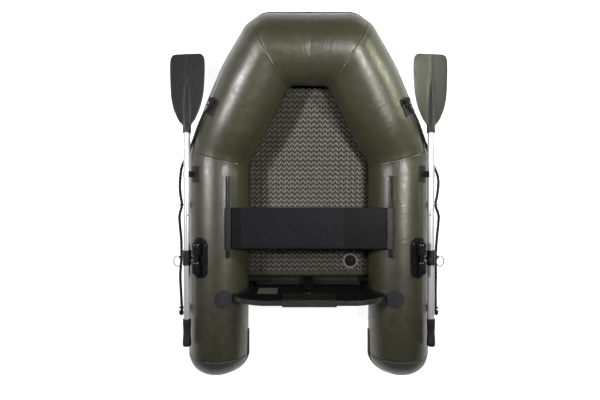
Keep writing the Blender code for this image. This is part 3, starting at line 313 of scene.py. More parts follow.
def hullMaterial(name, look):
    # coated fabric held out by air: satin, faint scrim, fine puckers beside the welds
    material, tree, shader = startMaterial(name, look)
    dustyBase(tree, shader, look, look["tint"])
    spot = placeIn(tree, "UV")
    parts = parted(tree, spot)
    waves = [sums(tree, "SINE", times(tree, parts[axis], look["scrim"])) for axis in (0, 1)]
    weave = sums(tree, "ADD", *[sums(tree, "ABSOLUTE", wave) for wave in waves])
    scrim = times(tree, weave, look["scrimShare"])
    # puckers run away from a weld, so they are stretched along the tube
    pucker = clouds(tree, stretched(tree, spot, look["puckerStretch"]), 1.0, 3.0, 0.6)
    near = tree.nodes.new("ShaderNodeAttribute")
    near.attribute_name = "weld"
    puckers = times(tree, pucker, times(tree, near.outputs["Fac"], look["puckerShare"]))
    crease = clouds(tree, stretched(tree, spot, look["creaseStretch"]), 1.0, 4.0, 0.55)
    creases = times(tree, crease, look["creaseShare"])
    # fine wrinkles lie across the tube, in patches
    fold = clouds(tree, stretched(tree, spot, look["foldStretch"]), 1.0, 2.0)
    where = ranged(tree, clouds(tree, spot, 7.0, 2.0), 0.45, 0.62, 0.12, 1.0)
    folds = times(tree, times(tree, fold, where), look["foldShare"])
    height = sums(tree, "ADD", sums(tree, "ADD", scrim, puckers), sums(tree, "ADD", creases, folds))
    bump(tree, shader, height, look)
    patch = clouds(tree, placeIn(tree), 30.0, 3.0)
    ends = look["roughness"] - look["smoother"], look["roughness"] + look["rougher"]
    tree.links.new(ranged(tree, patch, 0.35, 0.65, *ends), shader["Roughness"])
    return material


deckLook = {
    "ground": (0.021, 0.020, 0.0160), "yarn": (0.205, 0.198, 0.168), "bare": (0.048, 0.046, 0.031),
    "period": 0.0285, "pitch": 0.0242, "rise": 0.74, "thick": 0.44, "core": 0.07, "gap": 0.09, "soft": 0.06,
    # paintedSheen and paintedSheenHalf paint a sheen on the yarns that slant towards the nearer side
    "roughness": 0.55, "smoother": 0.12, "rougher": 0.15, "specular": 0.22, "paintedSheen": 0.32, "paintedSheenHalf": 0.25,
    "relief": 1.0, "depth": 0.0022, "threads": 1500.0, "threadShare": 0.12, "dust": 0.10, "aftEnd": -0.376,
    "aftFade": 0.006, "valve": (0.222, -0.316), "ringReach": 0.0395, "ringEdge": 0.0005,
    "ringColour": (0.165, 0.160, 0.146),
}


def deckMaterial():
    # short slanted yarns in zigzag rows on a dark ground
    look = deckLook
    material, tree, shader = startMaterial("deckWeave", look)
    place = placeIn(tree)
    x, y, _ = parted(tree, place)
    turns = sums(tree, "DIVIDE", x, look["period"])
    swing = times(tree, sums(tree, "PINGPONG", turns, 0.5), 2.0)  # 0 to 1 and back over one period
    row = sums(tree, "MULTIPLY_ADD", swing, look["rise"], sums(tree, "DIVIDE", y, look["pitch"]))
    inRow = sums(tree, "ABSOLUTE", sums(tree, "SUBTRACT", sums(tree, "FRACT", row), 0.5))
    across = ranged(tree, inRow, look["core"], look["thick"] / 2, 1.0, 0.0)
    fromBend = sums(tree, "ABSOLUTE", sums(tree, "SUBTRACT", swing, 0.5))
    yarnEnd = 0.5 - look["gap"]
    along = ranged(tree, fromBend, yarnEnd - look["soft"], yarnEnd + look["soft"], 1.0, 0.0)
    # the weave stops at the aft edge
    fade = ranged(tree, y, look["aftEnd"], look["aftEnd"] + look["aftFade"])
    yarn = times(tree, times(tree, across, along), fade)
    strand = ranged(tree, clouds(tree, place, 26.0, 4.0, 0.6), 0.3, 0.7, 0.75, 1.1)
    # painted sheen: yarns that slant towards the nearer side are painted lighter, standing in for the light
    # they catch
    falls = times(tree, sums(tree, "GREATER_THAN", sums(tree, "FRACT", turns), 0.5), 2.0)
    side = ranged(tree, x, -look["paintedSheenHalf"], look["paintedSheenHalf"], -look["paintedSheen"], look["paintedSheen"])
    paintedSheen = times(tree, sums(tree, "SUBTRACT", 1.0, falls), side)
    strand = times(tree, strand, sums(tree, "ADD", paintedSheen, 1 - look["paintedSheen"] / 2))
    ground = mixed(tree, fade, (*look["bare"], 1), (*look["ground"], 1))
    colour = mixed(tree, times(tree, yarn, strand), ground, (*look["yarn"], 1))
    # a plain pale ring is glued round the valve
    beside, before = (sums(tree, "SUBTRACT", *pair) for pair in zip((x, y), look["valve"]))
    square = sums(tree, "MULTIPLY_ADD", beside, beside, times(tree, before, before))
    ends = look["ringReach"] - look["ringEdge"], look["ringReach"] + look["ringEdge"]
    ring = ranged(tree, sums(tree, "SQRT", square), *ends, 1.0, 0.0)
    colour = mixed(tree, ring, colour, (*look["ringColour"], 1))
    yarn = times(tree, yarn, sums(tree, "SUBTRACT", 1.0, ring))
    dust = placed(tree, dustGroup, Base=colour, Amount=look["dust"])
    tree.links.new(dust["Colour"], shader["Base Color"])
    ends = look["roughness"] + look["rougher"], look["roughness"] - look["smoother"]
    tree.links.new(ranged(tree, yarn, 0.0, 1.0, *ends), shader["Roughness"])
    threads = clouds(tree, place, look["threads"], 2.0)
    bump(tree, shader, sums(tree, "MULTIPLY_ADD", threads, look["threadShare"], yarn), look)
    return material


def brushedMaterial(name, look):
    # drawn metal with fine lines along its length
    material, tree, shader = startMaterial(name, look)
    lines = clouds(tree, stretched(tree, placeIn(tree), look["stretch"]), 1.0, 4.0, 0.6)
    tone = mixed(tree, ranged(tree, lines, 0.3, 0.7), (*look["colour"], 1), (*look["tint"], 1))
    tree.links.new(tone, shader["Base Color"])
    ends = look["roughness"] - look["smoother"], look["roughness"] + look["rougher"]
    tree.links.new(ranged(tree, lines, 0.3, 0.7, *ends), shader["Roughness"])
    bump(tree, shader, lines, look)
    return material


# paintedCrownLight is a painted highlight on the strand crowns of the braid
ropeLook = {
    "colour": (0.006, 0.006, 0.007), "paintedCrownLight": (0.030, 0.030, 0.032), "strands": 8, "pitch": 0.016,
    "roughness": 0.62, "specular": 0.25, "relief": 0.8, "depth": 0.0008,
}


def ropeMaterial():
    # braid: two sets of strands that wind opposite ways
    look = ropeLook
    material, tree, shader = startMaterial("braidedRope", look)
    along, about, _ = parted(tree, placeIn(tree, "UV"))
    strand = times(tree, about, look["strands"] / 2)
    length = sums(tree, "DIVIDE", along, look["pitch"])
    left, right = (sums(tree, "SINE", times(tree, sums(tree, way, strand, length), math.tau))
                   for way in ("ADD", "SUBTRACT"))
    # the strand crowns are painted lighter, a painted highlight, and the gaps between strands darker, painted
    # shade
    paintedCrownShare = ranged(tree, sums(tree, "MAXIMUM", left, right), 0.1, 1.0)
    tree.links.new(mixed(tree, paintedCrownShare, (*look["colour"], 1), (*look["paintedCrownLight"], 1)), shader["Base Color"])
    bump(tree, shader, paintedCrownShare, look)
    return material


hullLook = {
    "colour": (0.036, 0.0345, 0.0180), "tint": (0.046, 0.0444, 0.0245), "drift": 5.0, "amount": 0.6,
    "dust": 0.05, "roughness": 0.39, "smoother": 0.04, "rougher": 0.05, "specular": 0.75, "scrim": 4200.0,
    "scrimShare": 0.012, "puckerStretch": (9.0, 75.0, 1.0), "puckerShare": 1.6,
    "creaseStretch": (22.0, 9.0, 1.0), "creaseShare": 0.35, "foldStretch": (105.0, 16.0, 1.0),
    "foldShare": 0.6, "relief": 0.55, "depth": 0.0028,
}
tailLook = {
    "colour": (0.054, 0.054, 0.043), "tint": (0.064, 0.064, 0.052), "drift": 6.0, "amount": 0.6,
    "dust": 0.06, "roughness": 0.40, "smoother": 0.04, "rougher": 0.05, "specular": 0.5, "scrim": 4200.0,
    "scrimShare": 0.015, "puckerStretch": (9.0, 60.0, 1.0), "puckerShare": 1.2,
    "creaseStretch": (18.0, 12.0, 1.0), "creaseShare": 0.5, "foldStretch": (80.0, 16.0, 1.0),
    "foldShare": 0.3, "relief": 0.5, "depth": 0.0024,
}
grainLooks = {
    "strakeRubber": {"colour": (0.008, 0.008, 0.008), "roughness": 0.50, "grain": 1400.0, "relief": 0.3},
    "blackPlastic": {"colour": (0.007, 0.007, 0.0075), "roughness": 0.36, "grain": 1800.0, "relief": 0.15},
    "glossPlastic": {
        "colour": (0.007, 0.007, 0.008), "roughness": 0.18, "grain": 700.0, "relief": 0.10, "spread": 0.04},
    "bladePlastic": {"colour": (0.0140, 0.0142, 0.0150), "roughness": 0.42, "relief": 0.18, "dust": 0.06},
    "coatedBoard": {
        "colour": (0.0050, 0.0050, 0.0060), "roughness": 0.50, "grain": 420.0, "coarse": 160.0,
        "relief": 0.55, "depth": 0.0007, "dust": 0.01, "specular": 0.10},
    "apronFabric": {"colour": (0.034, 0.032, 0.035), "roughness": 0.45, "grain": 1200.0},
    "bottomFabric": {
        "colour": (0.008, 0.008, 0.007), "roughness": 0.55, "grain": 1200.0, "relief": 0.3, "specular": 0.2},
    "railFabric": {"colour": (0.044, 0.043, 0.033), "roughness": 0.36, "grain": 1200.0, "specular": 0.5},
    "patchFabric": {"colour": (0.020, 0.0185, 0.026), "roughness": 0.50, "grain": 1200.0, "relief": 0.3},
    "blankLabel": {"colour": (0.098, 0.092, 0.074), "roughness": 0.40, "grain": 600.0, "relief": 0.12},
    "valvePlastic": {
        "colour": (0.005, 0.005, 0.0055), "roughness": 0.30, "grain": 1200.0, "relief": 0.12, "amount": 0.2,
        "specular": 0.14},
    # a paler finish for upward faces: partly a real edge profile, partly a painted highlight
    "trimAndPaintedHighlight": {
        "colour": (0.019, 0.019, 0.020), "roughness": 0.36, "grain": 1400.0, "relief": 0.2, "specular": 0.7},
    "gripFoam": {
        "colour": (0.009, 0.009, 0.010), "roughness": 0.55, "grain": 800.0, "relief": 0.5, "depth": 0.0006},
}
metalLooks = {
    "shaftAluminium": {
        "colour": (0.70, 0.70, 0.71), "tint": (0.58, 0.58, 0.59), "roughness": 0.34, "metal": 0.45,
        "stretch": (900, 14, 900)},
    "steelWire": {
        "colour": (0.035, 0.035, 0.035), "tint": (0.020, 0.020, 0.020), "roughness": 0.50, "metal": 0.15,
        "stretch": (300, 300, 300)},
}
brushed = {"smoother": 0.05, "rougher": 0.08, "relief": 0.15, "depth": 0.0001}
paint = {name: grainyMaterial(name, look) for name, look in grainLooks.items()}
paint["hullFabric"] = hullMaterial("hullFabric", hullLook)
paint["tailFabric"] = hullMaterial("tailFabric", tailLook)
paint["deckWeave"] = deckMaterial()
paint["braidedRope"] = ropeMaterial()
for metalName, metalLook in metalLooks.items():
    paint[metalName] = brushedMaterial(metalName, {**brushed, **metalLook})
print("materials made:", len(paint))


# mesh tools

mergeReach = 0.00001


def evenTurns(count):
    return [math.tau * number / count for number in range(count)]


def between(start, end, count):
    return [start + (end - start) * number / count for number in range(count + 1)]


def circleOf(centre, first, second, radius, count):
    return [centre + radius * (math.cos(turn) * first + math.sin(turn) * second) for turn in evenTurns(count)]


def sweep(rings, caps=True):
    # a closed ring is drawn once and extruded from place to place; every vertex keeps its spot on the ring
    work = bmesh.new()
    spot = work.verts.layers.int.new("spot")
    turn = work.verts.layers.int.new("turn")
    first = bmesh.ops.create_circle(work, segments=len(rings[0]), radius=1, cap_ends=False)["verts"]
    for number, vert in enumerate(first):
        vert[spot] = number
        vert.co = rings[0][number]
    edges = list(work.edges)
    if caps:
        bmesh.ops.edgeloop_fill(work, edges=edges)
    for number, ring in enumerate(rings[1:], 1):
        made = bmesh.ops.extrude_edge_only(work, edges=edges)["geom"]
        for vert in made:
            if isinstance(vert, bmesh.types.BMVert):
                vert.co = ring[vert[spot]]
                vert[turn] = number
        edges = [edge for edge in made if isinstance(edge, bmesh.types.BMEdge) and edge.is_boundary]
    if caps:
        bmesh.ops.edgeloop_fill(work, edges=edges)
    return work


def unwrap(work, around, along):
    # u runs along the piece in metres and v round it, in the unit that around gives
    spot = work.verts.layers.int["spot"]
    turn = work.verts.layers.int["turn"]
    uv = work.loops.layers.uv.new("UVMap")
    count = len(around) - 1
    for face in work.faces:
        if len(face.loops) > 4:
            continue
        spots = [loop.vert[spot] for loop in face.loops]
        wraps = max(spots) - min(spots) > count / 2
        for loop, number in zip(face.loops, spots):
            if wraps and number < count / 2:
                number += count
            loop[uv].uv = (along[loop.vert[turn]], around[number])


def closeUp(work):
    bmesh.ops.remove_doubles(work, verts=work.verts, dist=mergeReach)
    bmesh.ops.recalc_face_normals(work, faces=work.faces)
    if work.calc_volume(signed=True) < 0:
        bmesh.ops.reverse_faces(work, faces=work.faces)
    return work


def finishPiece(name, work, finish, body, node, sharp=35, flat=False):
    mesh = meshFrom(work, name, paint[finish])
    mesh.shade_smooth()
    mesh.set_sharp_from_angle(angle=math.radians(sharp))
    piece = addThing(name, mesh)
    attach(piece, body)
    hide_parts(node)
    if flat:
        # a large face keeps its own normal up to the bevel
        piece.modifiers.new("normals", "WEIGHTED_NORMAL").keep_sharp = True
    return piece


def mirrored(work):
    bmesh.ops.scale(work, vec=(-1, 1, 1), verts=work.verts)
    bmesh.ops.reverse_faces(work, faces=work.faces)
    return work


def sided(side, name):
    return side + name[0].upper() + name[1:]


def bodyOn(side, body):
    return body if body in ("hull", "seat") else f"{side}_{body}"


def finishPair(name, work, finish, body, node, sharp=35):
    # name, body and node are given without their side
    other = mirrored(work.copy())
    return [finishPiece(sided(side, name), one, finish, bodyOn(side, body), f"{side}_{node}", sharp)
            for side, one in (("starboard", work), ("port", other))]


def merged(whole, *others):
    for other in others:
        mesh = meshFrom(other, "part")
        whole.from_mesh(mesh)
        bpy.data.meshes.remove(mesh)
    return whole


def rounded(work, edges, offset, segments):
    bmesh.ops.bevel(
        work, geom=edges, offset=offset, offset_type="OFFSET", segments=segments, profile=0.5, affect="EDGES",
        material=-1, clamp_overlap=True)
    return work


def box(size, middle, bevel, segments):
    work = bmesh.new()
    bmesh.ops.create_cube(work, size=1)
    bmesh.ops.scale(work, vec=size, verts=work.verts)
    bmesh.ops.translate(work, vec=middle, verts=work.verts)
    return rounded(work, work.edges[:], bevel, segments)


def lathe(profile, place, steps=48):
    # profile of (radius, height), turned about the place's Z
    work = bmesh.new()
    verts = [work.verts.new((radius, 0, height)) for radius, height in profile]
    for before, after in zip(verts, verts[1:]):
        work.edges.new((before, after))
    bmesh.ops.spin(
        work, geom=work.verts[:] + work.edges[:], cent=(0, 0, 0), axis=(0, 0, 1), angle=math.tau, steps=steps,
        use_merge=True, use_duplicate=False)
    bmesh.ops.transform(work, matrix=place, verts=work.verts)
    return closeUp(work)


def tubeAlong(points, sizes, sides, closed=False):
    # round tube on a path, with frames carried along it
    count = len(points)
    ways = []
    for index in range(count):
        if closed:
            before, after = points[index - 1], points[(index + 1) % count]
        else:
            before, after = points[max(index - 1, 0)], points[min(index + 1, count - 1)]
        ways.append((after - before).normalized())
    side = ways[0].orthogonal().normalized()
    rings = []
    for index, (point, size, way) in enumerate(zip(points, sizes, ways)):
        if index:
            side = ways[index - 1].rotation_difference(way) @ side
        side = (side - way * side.dot(way)).normalized()
        rings.append(circleOf(point, side, way.cross(side), size, sides))
    if not closed:
        return sweep(rings)
    # the carried frame comes back turned, so the last ring starts at the spot nearest the first
    last = rings[0]
    start = min(range(sides), key=lambda number: (rings[-1][0] - last[number]).length)
    return closeUp(sweep(rings + [last[start:] + last[:start]], caps=False))


def smoothRoute(route, step):
    # points on a smooth curve through the chosen ones
    points = [route[0]]
    ends = [2 * route[0] - route[1]] + route + [2 * route[-1] - route[-2]]
    for before, start, end, after in zip(ends, ends[1:], ends[2:], ends[3:]):
        count = max(1, round((end - start).length / step))
        for number in range(1, count + 1):
            s = number / count
            points.append(0.5 * (
                2 * start + (end - before) * s + (2 * before - 5 * start + 4 * end - after) * s ** 2
                + (3 * start - before - 3 * end + after) * s ** 3))
    return points


softEdge = {"sharp": 28, "flatWithin": 1, "segments": 2}


def refined(node, bevel):
    # a merged copy of a CAD node with its hard edges rounded
    work = bmesh.new()
    work.from_mesh(nodes[node].data)
    bmesh.ops.remove_doubles(work, verts=work.verts, dist=mergeReach)
    bmesh.ops.dissolve_limit(
        work, angle_limit=math.radians(softEdge["flatWithin"]), verts=work.verts, edges=work.edges)
    least = math.radians(softEdge["sharp"])
    edges = [edge for edge in work.edges if edge.is_manifold and edge.calc_face_angle(0) > least]
    return closeUp(rounded(work, edges, bevel, softEdge["segments"]))


# line of the starboard tube, from its tail seam to the middle of the bow

hullSet = {
    "sideX": 0.457, "radius": 0.148, "tailY": -0.778, "shoulderY": 0.228, "bowHalf": 0.195, "bowY": 0.7201,
    "bowRise": 0.160, "bowRadius": 0.166, "swellShare": 0.3, "swellRadius": 0.162, "blend": 0.05, "sides": 96,
    "step": 0.011, "wall": 0.0012, "weldHalf": 0.00015, "dent": 0.025, "dentDiagonal": 0.24, "dentBow": 0.075,
    "sharp": 60,
}
weldSet = {
    "groove": 0.0010, "grooveWidth": 0.0022, "tape": 0.0010, "tapeWidth": 0.013, "tapeEdge": 2500,
    "pinch": 0.0016, "pinchReach": 0.028, "pucker": 0.0016, "puckerReach": 0.045, "puckersRound": 5,
    "puckersAlong": 9, "tapedShift": 3, "ripple": 0.0011, "ripples": 5.5, "maskReach": 0.035, "clear": 0.02,
    "near": (0, 0.0008, 0.0018, 0.003, 0.005, 0.008, 0.0115, 0.0125, 0.0135, 0.0155, 0.02),
}
shoulder = Vector((hullSet["sideX"], hullSet["shoulderY"], hullSet["radius"]))
bowCorner = Vector((hullSet["bowHalf"], hullSet["bowY"], hullSet["radius"] + hullSet["bowRise"]))
tailSeam = Vector((hullSet["sideX"], hullSet["tailY"], hullSet["radius"]))
swell = shoulder.lerp(bowCorner, hullSet["swellShare"])
knots = [tailSeam, shoulder, swell, bowCorner, Vector((0, bowCorner.y, bowCorner.z))]
radii = [hullSet[name] for name in ("radius", "radius", "swellRadius", "bowRadius", "bowRadius")]
ways = [(after - before).normalized() for before, after in zip(knots, knots[1:])]
stations = [0.0]
for before, after in zip(knots, knots[1:]):
    stations.append(stations[-1] + (after - before).length)
frames = [(abeam, up)]
for before, after in zip(ways, ways[1:]):
    turn = before.rotation_difference(after)
    frames.append(tuple(turn @ axis for axis in frames[-1]))


def bent(points, station):
    # straight between the knots, with a smooth bend at each inner one
    def straight(reach):
        index = max(i for i in range(len(points) - 1) if i == 0 or reach >= stations[i])
        share = (reach - stations[index]) / (stations[index + 1] - stations[index])
        return points[index].lerp(points[index + 1], share)

    blend = hullSet["blend"]
    for index in range(1, len(points) - 1):
        reach = station - stations[index]
        if abs(reach) < blend:
            share = (reach / blend + 1) / 2
            before = straight(stations[index] - blend)
            after = straight(stations[index] + blend)
            return before.lerp(points[index], share).lerp(points[index].lerp(after, share), share)
    return straight(station)


def radiusAt(station):
    return bent([Vector((value, 0)) for value in radii], station).x


def knotAxis(index, which, lift):
    # the tube's outboard or upward reach at a knot, in the plane that halves the corner
    segment = max(index - 1, 0)
    way = ways[segment]
    normal = (ways[index - 1] + ways[index]).normalized() if 0 < index < len(knots) - 1 else way
    offset = (radii[index] + lift) * frames[segment][which]
    return offset - way * (offset.dot(normal) / way.dot(normal))


def ringBasis(station, lift=0.0):
    outs, ups = ([knotAxis(index, which, lift) for index in range(len(knots))] for which in (0, 1))
    return bent(knots, station), bent(outs, station), bent(ups, station)


def onHull(angle, station, lift):
    centre, out, rise = ringBasis(station, lift)
    turn = math.radians(angle)
    return centre + math.cos(turn) * out + math.sin(turn) * rise


def onTube(angle, station, lift=0.0):
    # square off a straight run of the tube
    index = max(i for i in range(len(ways)) if i == 0 or station >= stations[i])
    out, rise = frames[index]
    turn = math.radians(angle)
    centre = knots[index] + ways[index] * (station - stations[index])
    return centre + (radiusAt(station) + lift) * (math.cos(turn) * out + math.sin(turn) * rise)


def stationAt(y):
    return y - hullSet["tailY"]


def eased(share):
    return share * share * (3 - 2 * share)


def cornerDent(station, angle):
    # the fabric draws the bow corner in on its outboard side
    reach = stations[3] - station
    span = hullSet["dentDiagonal"] if reach > 0 else hullSet["dentBow"]
    return -hullSet["dent"] * eased(max(1 - abs(reach) / span, 0)) * max(math.cos(angle), 0) ** 1.5


def weldDetail(distance, angle, place, taped):
    # how far the skin stands off the plain tube near a weld
    s = weldSet
    lift = -s["groove"] * math.exp(-(distance / s["grooveWidth"]) ** 2)
    lift -= s["pinch"] * math.exp(-distance / s["pinchReach"])
    along = distance * s["puckersAlong"]
    if taped:
        lift += s["tape"] / (1 + math.exp((distance - s["tapeWidth"]) * s["tapeEdge"]))
        along += s["tapedShift"]
    beside, above = math.cos(angle) * s["puckersRound"], math.sin(angle) * s["puckersRound"]
    lift += s["pucker"] * noise.noise(Vector((beside, above, along))) * math.exp(-distance / s["puckerReach"])
    return lift + s["ripple"] * noise.noise(place * s["ripples"])


def finerNear(start, end):
    # stations from start to end, close together beside both ends
    near, clear = weldSet["near"], weldSet["clear"]
    middle = max(1, math.ceil((end - start - 2 * clear) / hullSet["step"]))
    inner = between(start + clear, end - clear, middle)[1:-1]
    return [start + value for value in near] + inner + [end - value for value in reversed(near)]


def skinRings(places, startWeld, endWeld, endTape):
    rings = []
    for station in places:
        centre, out, rise = ringBasis(station)
        fromStart, toEnd = station - startWeld, endWeld - station
        taped = endTape and fromStart >= toEnd
        ring = []
        for angle in evenTurns(hullSet["sides"]):
            reach = math.cos(angle) * out + math.sin(angle) * rise
            lift = weldDetail(min(fromStart, toEnd), angle, centre + reach, taped)
            lift += cornerDent(station, angle)
            ring.append(centre + reach + reach.normalized() * lift)
        rings.append(ring)
    return rings


def tubeSkin(rings, places, startWeld, endWeld):
    work = sweep(rings, caps=False)
    unwrap(work, between(0, math.tau * hullSet["radius"], hullSet["sides"]), places)
    turn = work.verts.layers.int["turn"]
    weld = work.verts.layers.float.new("weld")
    for vert in work.verts:
        reach = min(abs(places[vert[turn]] - startWeld), abs(endWeld - places[vert[turn]]))
        vert[weld] = math.exp(-reach / weldSet["maskReach"])
    # an open tube is turned outwards by one face of its middle ring
    halfway = rings[len(rings) // 2]
    middle = sum(halfway, Vector()) / len(halfway)
    face = min(work.faces, key=lambda one: (one.calc_center_median() - halfway[0]).length)
    bmesh.ops.recalc_face_normals(work, faces=work.faces)
    if face.normal.dot(face.calc_center_median() - middle) < 0:
        bmesh.ops.reverse_faces(work, faces=work.faces)
    return work


def thicken(pieces):
    # the wall grows inwards from the skin
    for piece in pieces:
        wall = piece.modifiers.new("wall", "SOLIDIFY")
        wall.thickness = hullSet["wall"]
        wall.offset = -1


def withPortSide(rings):
    # the rings end on the middle line and go on mirrored
    return rings + [[Vector((-point.x, point.y, point.z)) for point in ring] for ring in reversed(rings[:-1])]


def sidePanel(first, last, taped):
    start, end, half = stations[first], stations[last], hullSet["weldHalf"]
    places = finerNear(start + half, end - half)
    return tubeSkin(skinRings(places, start, end, taped), places, start, end)


def makeHull():
    sharp = hullSet["sharp"]
    side = sidePanel(0, 1, False)
    diagonal = sidePanel(1, 3, True)
    corner, middle = stations[3], stations[4]
    places = finerNear(corner + hullSet["weldHalf"], middle)
    half = skinRings(places, corner, middle, False)
    half[-1] = [Vector((0, point.y, point.z)) for point in half[-1]]
    places += [2 * middle - place for place in reversed(places[:-1])]
    bow = tubeSkin(withPortSide(half), places, corner, 2 * middle - corner)
    surface = [BVHTree.FromBMesh(work) for work in (side, diagonal, bow)]
    thicken(finishPair("sideSkin", side, "hullFabric", "hull", "side_panel", sharp))
    thicken(finishPair("shoulderSkin", diagonal, "hullFabric", "hull", "shoulder_panel", sharp))
    thicken([finishPiece("bowSkin", bow, "hullFabric", "hull", "bow_panel", sharp)])
    return surface


tailSet = {
    "length": 0.1059, "power": 1.8, "drift": 0.010, "driftPower": 1.5, "rows": 22, "seamWidth": 0.003,
    "uneven": 0.0008, "dents": 9, "poleRadius": 0.0005, "poleMerge": 0.0001, "farWeld": -9.0,
}


def tailShape(turn):
    # radius, distance aft and drift outboard on the domed tail
    s = tailSet
    aft = s["length"] * math.sin(turn) ** (2 / s["power"])
    return hullSet["radius"] * math.cos(turn), aft, s["drift"] * (aft / s["length"]) ** s["driftPower"]


def makeTails():
    s = tailSet
    rings, along = [], []
    for turn in between(0, math.pi / 2, s["rows"]):
        radius, aft, drift = tailShape(turn)
        seam = weldSet["groove"] * math.exp(-(aft / s["seamWidth"]) ** 2)
        ring = []
        for angle in evenTurns(hullSet["sides"]):
            reach = Vector((math.cos(angle), 0, math.sin(angle)))
            place = tailSeam - ahead * (aft + hullSet["weldHalf"]) + reach * radius + abeam * drift
            lift = s["uneven"] * noise.noise(place * s["dents"]) * math.cos(turn) - seam
            ring.append(place + reach * (lift if radius > s["poleRadius"] else -radius))
        rings.append(ring)
        along.append(-aft)
    work = tubeSkin(rings, along, 0.0, s["farWeld"])
    bmesh.ops.remove_doubles(work, verts=work.verts, dist=s["poleMerge"])
    thicken(finishPair("tailSkin", work, "tailFabric", "hull", "tail_cone", hullSet["sharp"]))


hullSurface = makeHull()
makeTails()
print("tubes made")


# rub strake round the outside of the tubes

strakeSet = {
    "half": 0.0175, "gap": 0.0003, "startY": -0.654, "step": 0.014, "aftRows": 8, "tailRows": 20,
    "foot": (-1, -0.5, 0, 0.5, 1),
    "crown": (
        (1, 0.0022), (0.94, 0.0039), (0.82, 0.0048), (0.64, 0.0050), (0.54, 0.0038), (0.44, 0.0050),
        (0.2, 0.0052)),
}
strakeProfile = [(share, strakeSet["gap"]) for share in strakeSet["foot"]]
strakeProfile += strakeSet["crown"]
strakeProfile += [(-share, lift) for share, lift in reversed(strakeSet["crown"])]


def hullStrake(station, base):
    radius = radiusAt(station)
    sign = 1 if base == 0 else -1
    ring = []
    for share, lift in strakeProfile:
        angle = base + sign * math.degrees(share * strakeSet["half"] / radius)
        ring.append(onHull(angle, station, lift + cornerDent(station, math.radians(angle))))
    return ring


def tailStrake():
    shape = [tailShape(turn) for turn in between(0, math.pi / 2, strakeSet["tailRows"])]
    inboard = [tailSeam + Vector((drift - radius, -aft, 0)) for radius, aft, drift in shape[:-1]]
    outboard = [tailSeam + Vector((drift + radius, -aft, 0)) for radius, aft, drift in shape]
    path = inboard + outboard[::-1]
    rings = []
    for before, here, after in zip(path, path[1:], path[2:]):
        way = ((here - before).normalized() + (after - here).normalized()).normalized()
        out = Vector((way.y, -way.x, 0))
        ring = []
        for share, lift in strakeProfile:
            height = share * strakeSet["half"]
            ring.append(here + out * (lift - height ** 2 / (2 * hullSet["radius"])) + up * height)
        rings.append(ring)
    return rings


def makeStrake():
    s = strakeSet
    rings = [hullStrake(station, 180) for station in between(stationAt(s["startY"]), 0, s["aftRows"])]
    rings += tailStrake()
    count = round(stations[4] / s["step"])
    rings += [hullStrake(station, 0) for station in between(0, stations[4], count)]
    finishPiece("rubStrake", closeUp(sweep(withPortSide(rings))), "strakeRubber", "hull", "rub_strake")


makeStrake()
print("strake made")


# air deck and bottom skin

deckSet = {
    "top": 0.087, "thick": 0.050, "fit": 0.0012, "aft": -0.4014, "front": 0.572, "rise": 0.155,
    "riseLength": 0.640, "row": 0.011, "across": 44, "underEvery": 6, "endTurns": (18, 36, 54, 72, 84),
    "sideTurn": 15, "sharp": 50, "halvings": 22,
}
bottomSet = {"thick": 0.0015, "aft": -0.445, "front": 0.6125, "gap": 0.0003, "rows": 60}


def deckTop(y):
    return deckSet["top"] + deckSet["rise"] * (max(y, 0) / deckSet["riseLength"]) ** 2


def clearHalf(y, z, reach):
    # widest half width at which a point stays the given reach off the tubes
    low, high = 0.0, hullSet["sideX"]
    for _ in range(deckSet["halvings"]):
        middle = (low + high) / 2
        point = Vector((middle, y, z))
        found = [tree.find_nearest(point) for tree in hullSurface]
        spot, normal, _, distance = min(found, key=lambda one: one[3])
        if distance > reach and (point - spot).dot(normal) > 0:
            low = middle
        else:
            high = middle
    return low


def makeDeck():
    s = deckSet
    half = s["thick"] / 2
    aft, front = s["aft"] + half, s["front"] - half
    quarter = [math.radians(angle) for angle in s["endTurns"]]
    rows = [(aft - half * math.sin(turn), half * math.cos(turn)) for turn in reversed(quarter)]
    rows += [(y, half) for y in between(aft, front, round((front - aft) / s["row"]))]
    rows += [(front + half * math.sin(turn), half * math.cos(turn)) for turn in quarter]
    turns = [math.radians(angle) for angle in range(-90, 91, s["sideTurn"])]
    rings = []
    for y, bulge in rows:
        level = min(max(y, aft), front)
        middle = deckTop(min(y, front)) - half
        edge = clearHalf(level, deckTop(level) - half, half + s["fit"])
        side = [(edge + bulge * math.cos(turn), middle + bulge * math.sin(turn)) for turn in turns]
        flat = [edge * (1 - 2 * number / s["across"]) for number in range(1, s["across"])]
        ring = side + [(x, middle + bulge) for x in flat] + [(-x, z) for x, z in reversed(side)]
        ring += [(-x, middle - bulge) for x in flat[::s["underEvery"]]]
        rings.append([Vector((x, y, z)) for x, z in ring])
    finishPiece("airDeck", closeUp(sweep(rings)), "deckWeave", "hull", "air_deck", s["sharp"])


def makeBottom():
    s = bottomSet
    shares = (-1, -0.5, 0.5, 1)
    rings = []
    for y in between(s["aft"], s["front"], s["rows"]):
        top = deckTop(y) - deckSet["thick"] - s["gap"]
        half = clearHalf(y, top, deckSet["fit"])
        ring = [Vector((half * share, y, top)) for share in shares]
        rings.append(ring + [Vector((half * share, y, top - s["thick"])) for share in reversed(shares)])
    finishPiece("bottomSkin", closeUp(sweep(rings)), "bottomFabric", "hull", "bottom_skin")


makeDeck()
makeBottom()
print("deck made")


# plates that follow a tube

plateSet = {"acrossCells": 22, "alongCells": 26, "foot": 0.0001, "rim": 0.999, "segments": 3}


def roundedCorner(x, y, halfX, halfY, corner):
    # moves a point of the rectangle so that the rectangle's corners come out round
    dx = max(abs(x) - (halfX - corner), 0) / corner
    dy = max(abs(y) - (halfY - corner), 0) / corner
    if dx and dy:
        newX, newY = dx * math.sqrt(1 - dy * dy / 2), dy * math.sqrt(1 - dx * dx / 2)
        x = math.copysign(halfX - corner + newX * corner, x)
        y = math.copysign(halfY - corner + newY * corner, y)
    return x, y


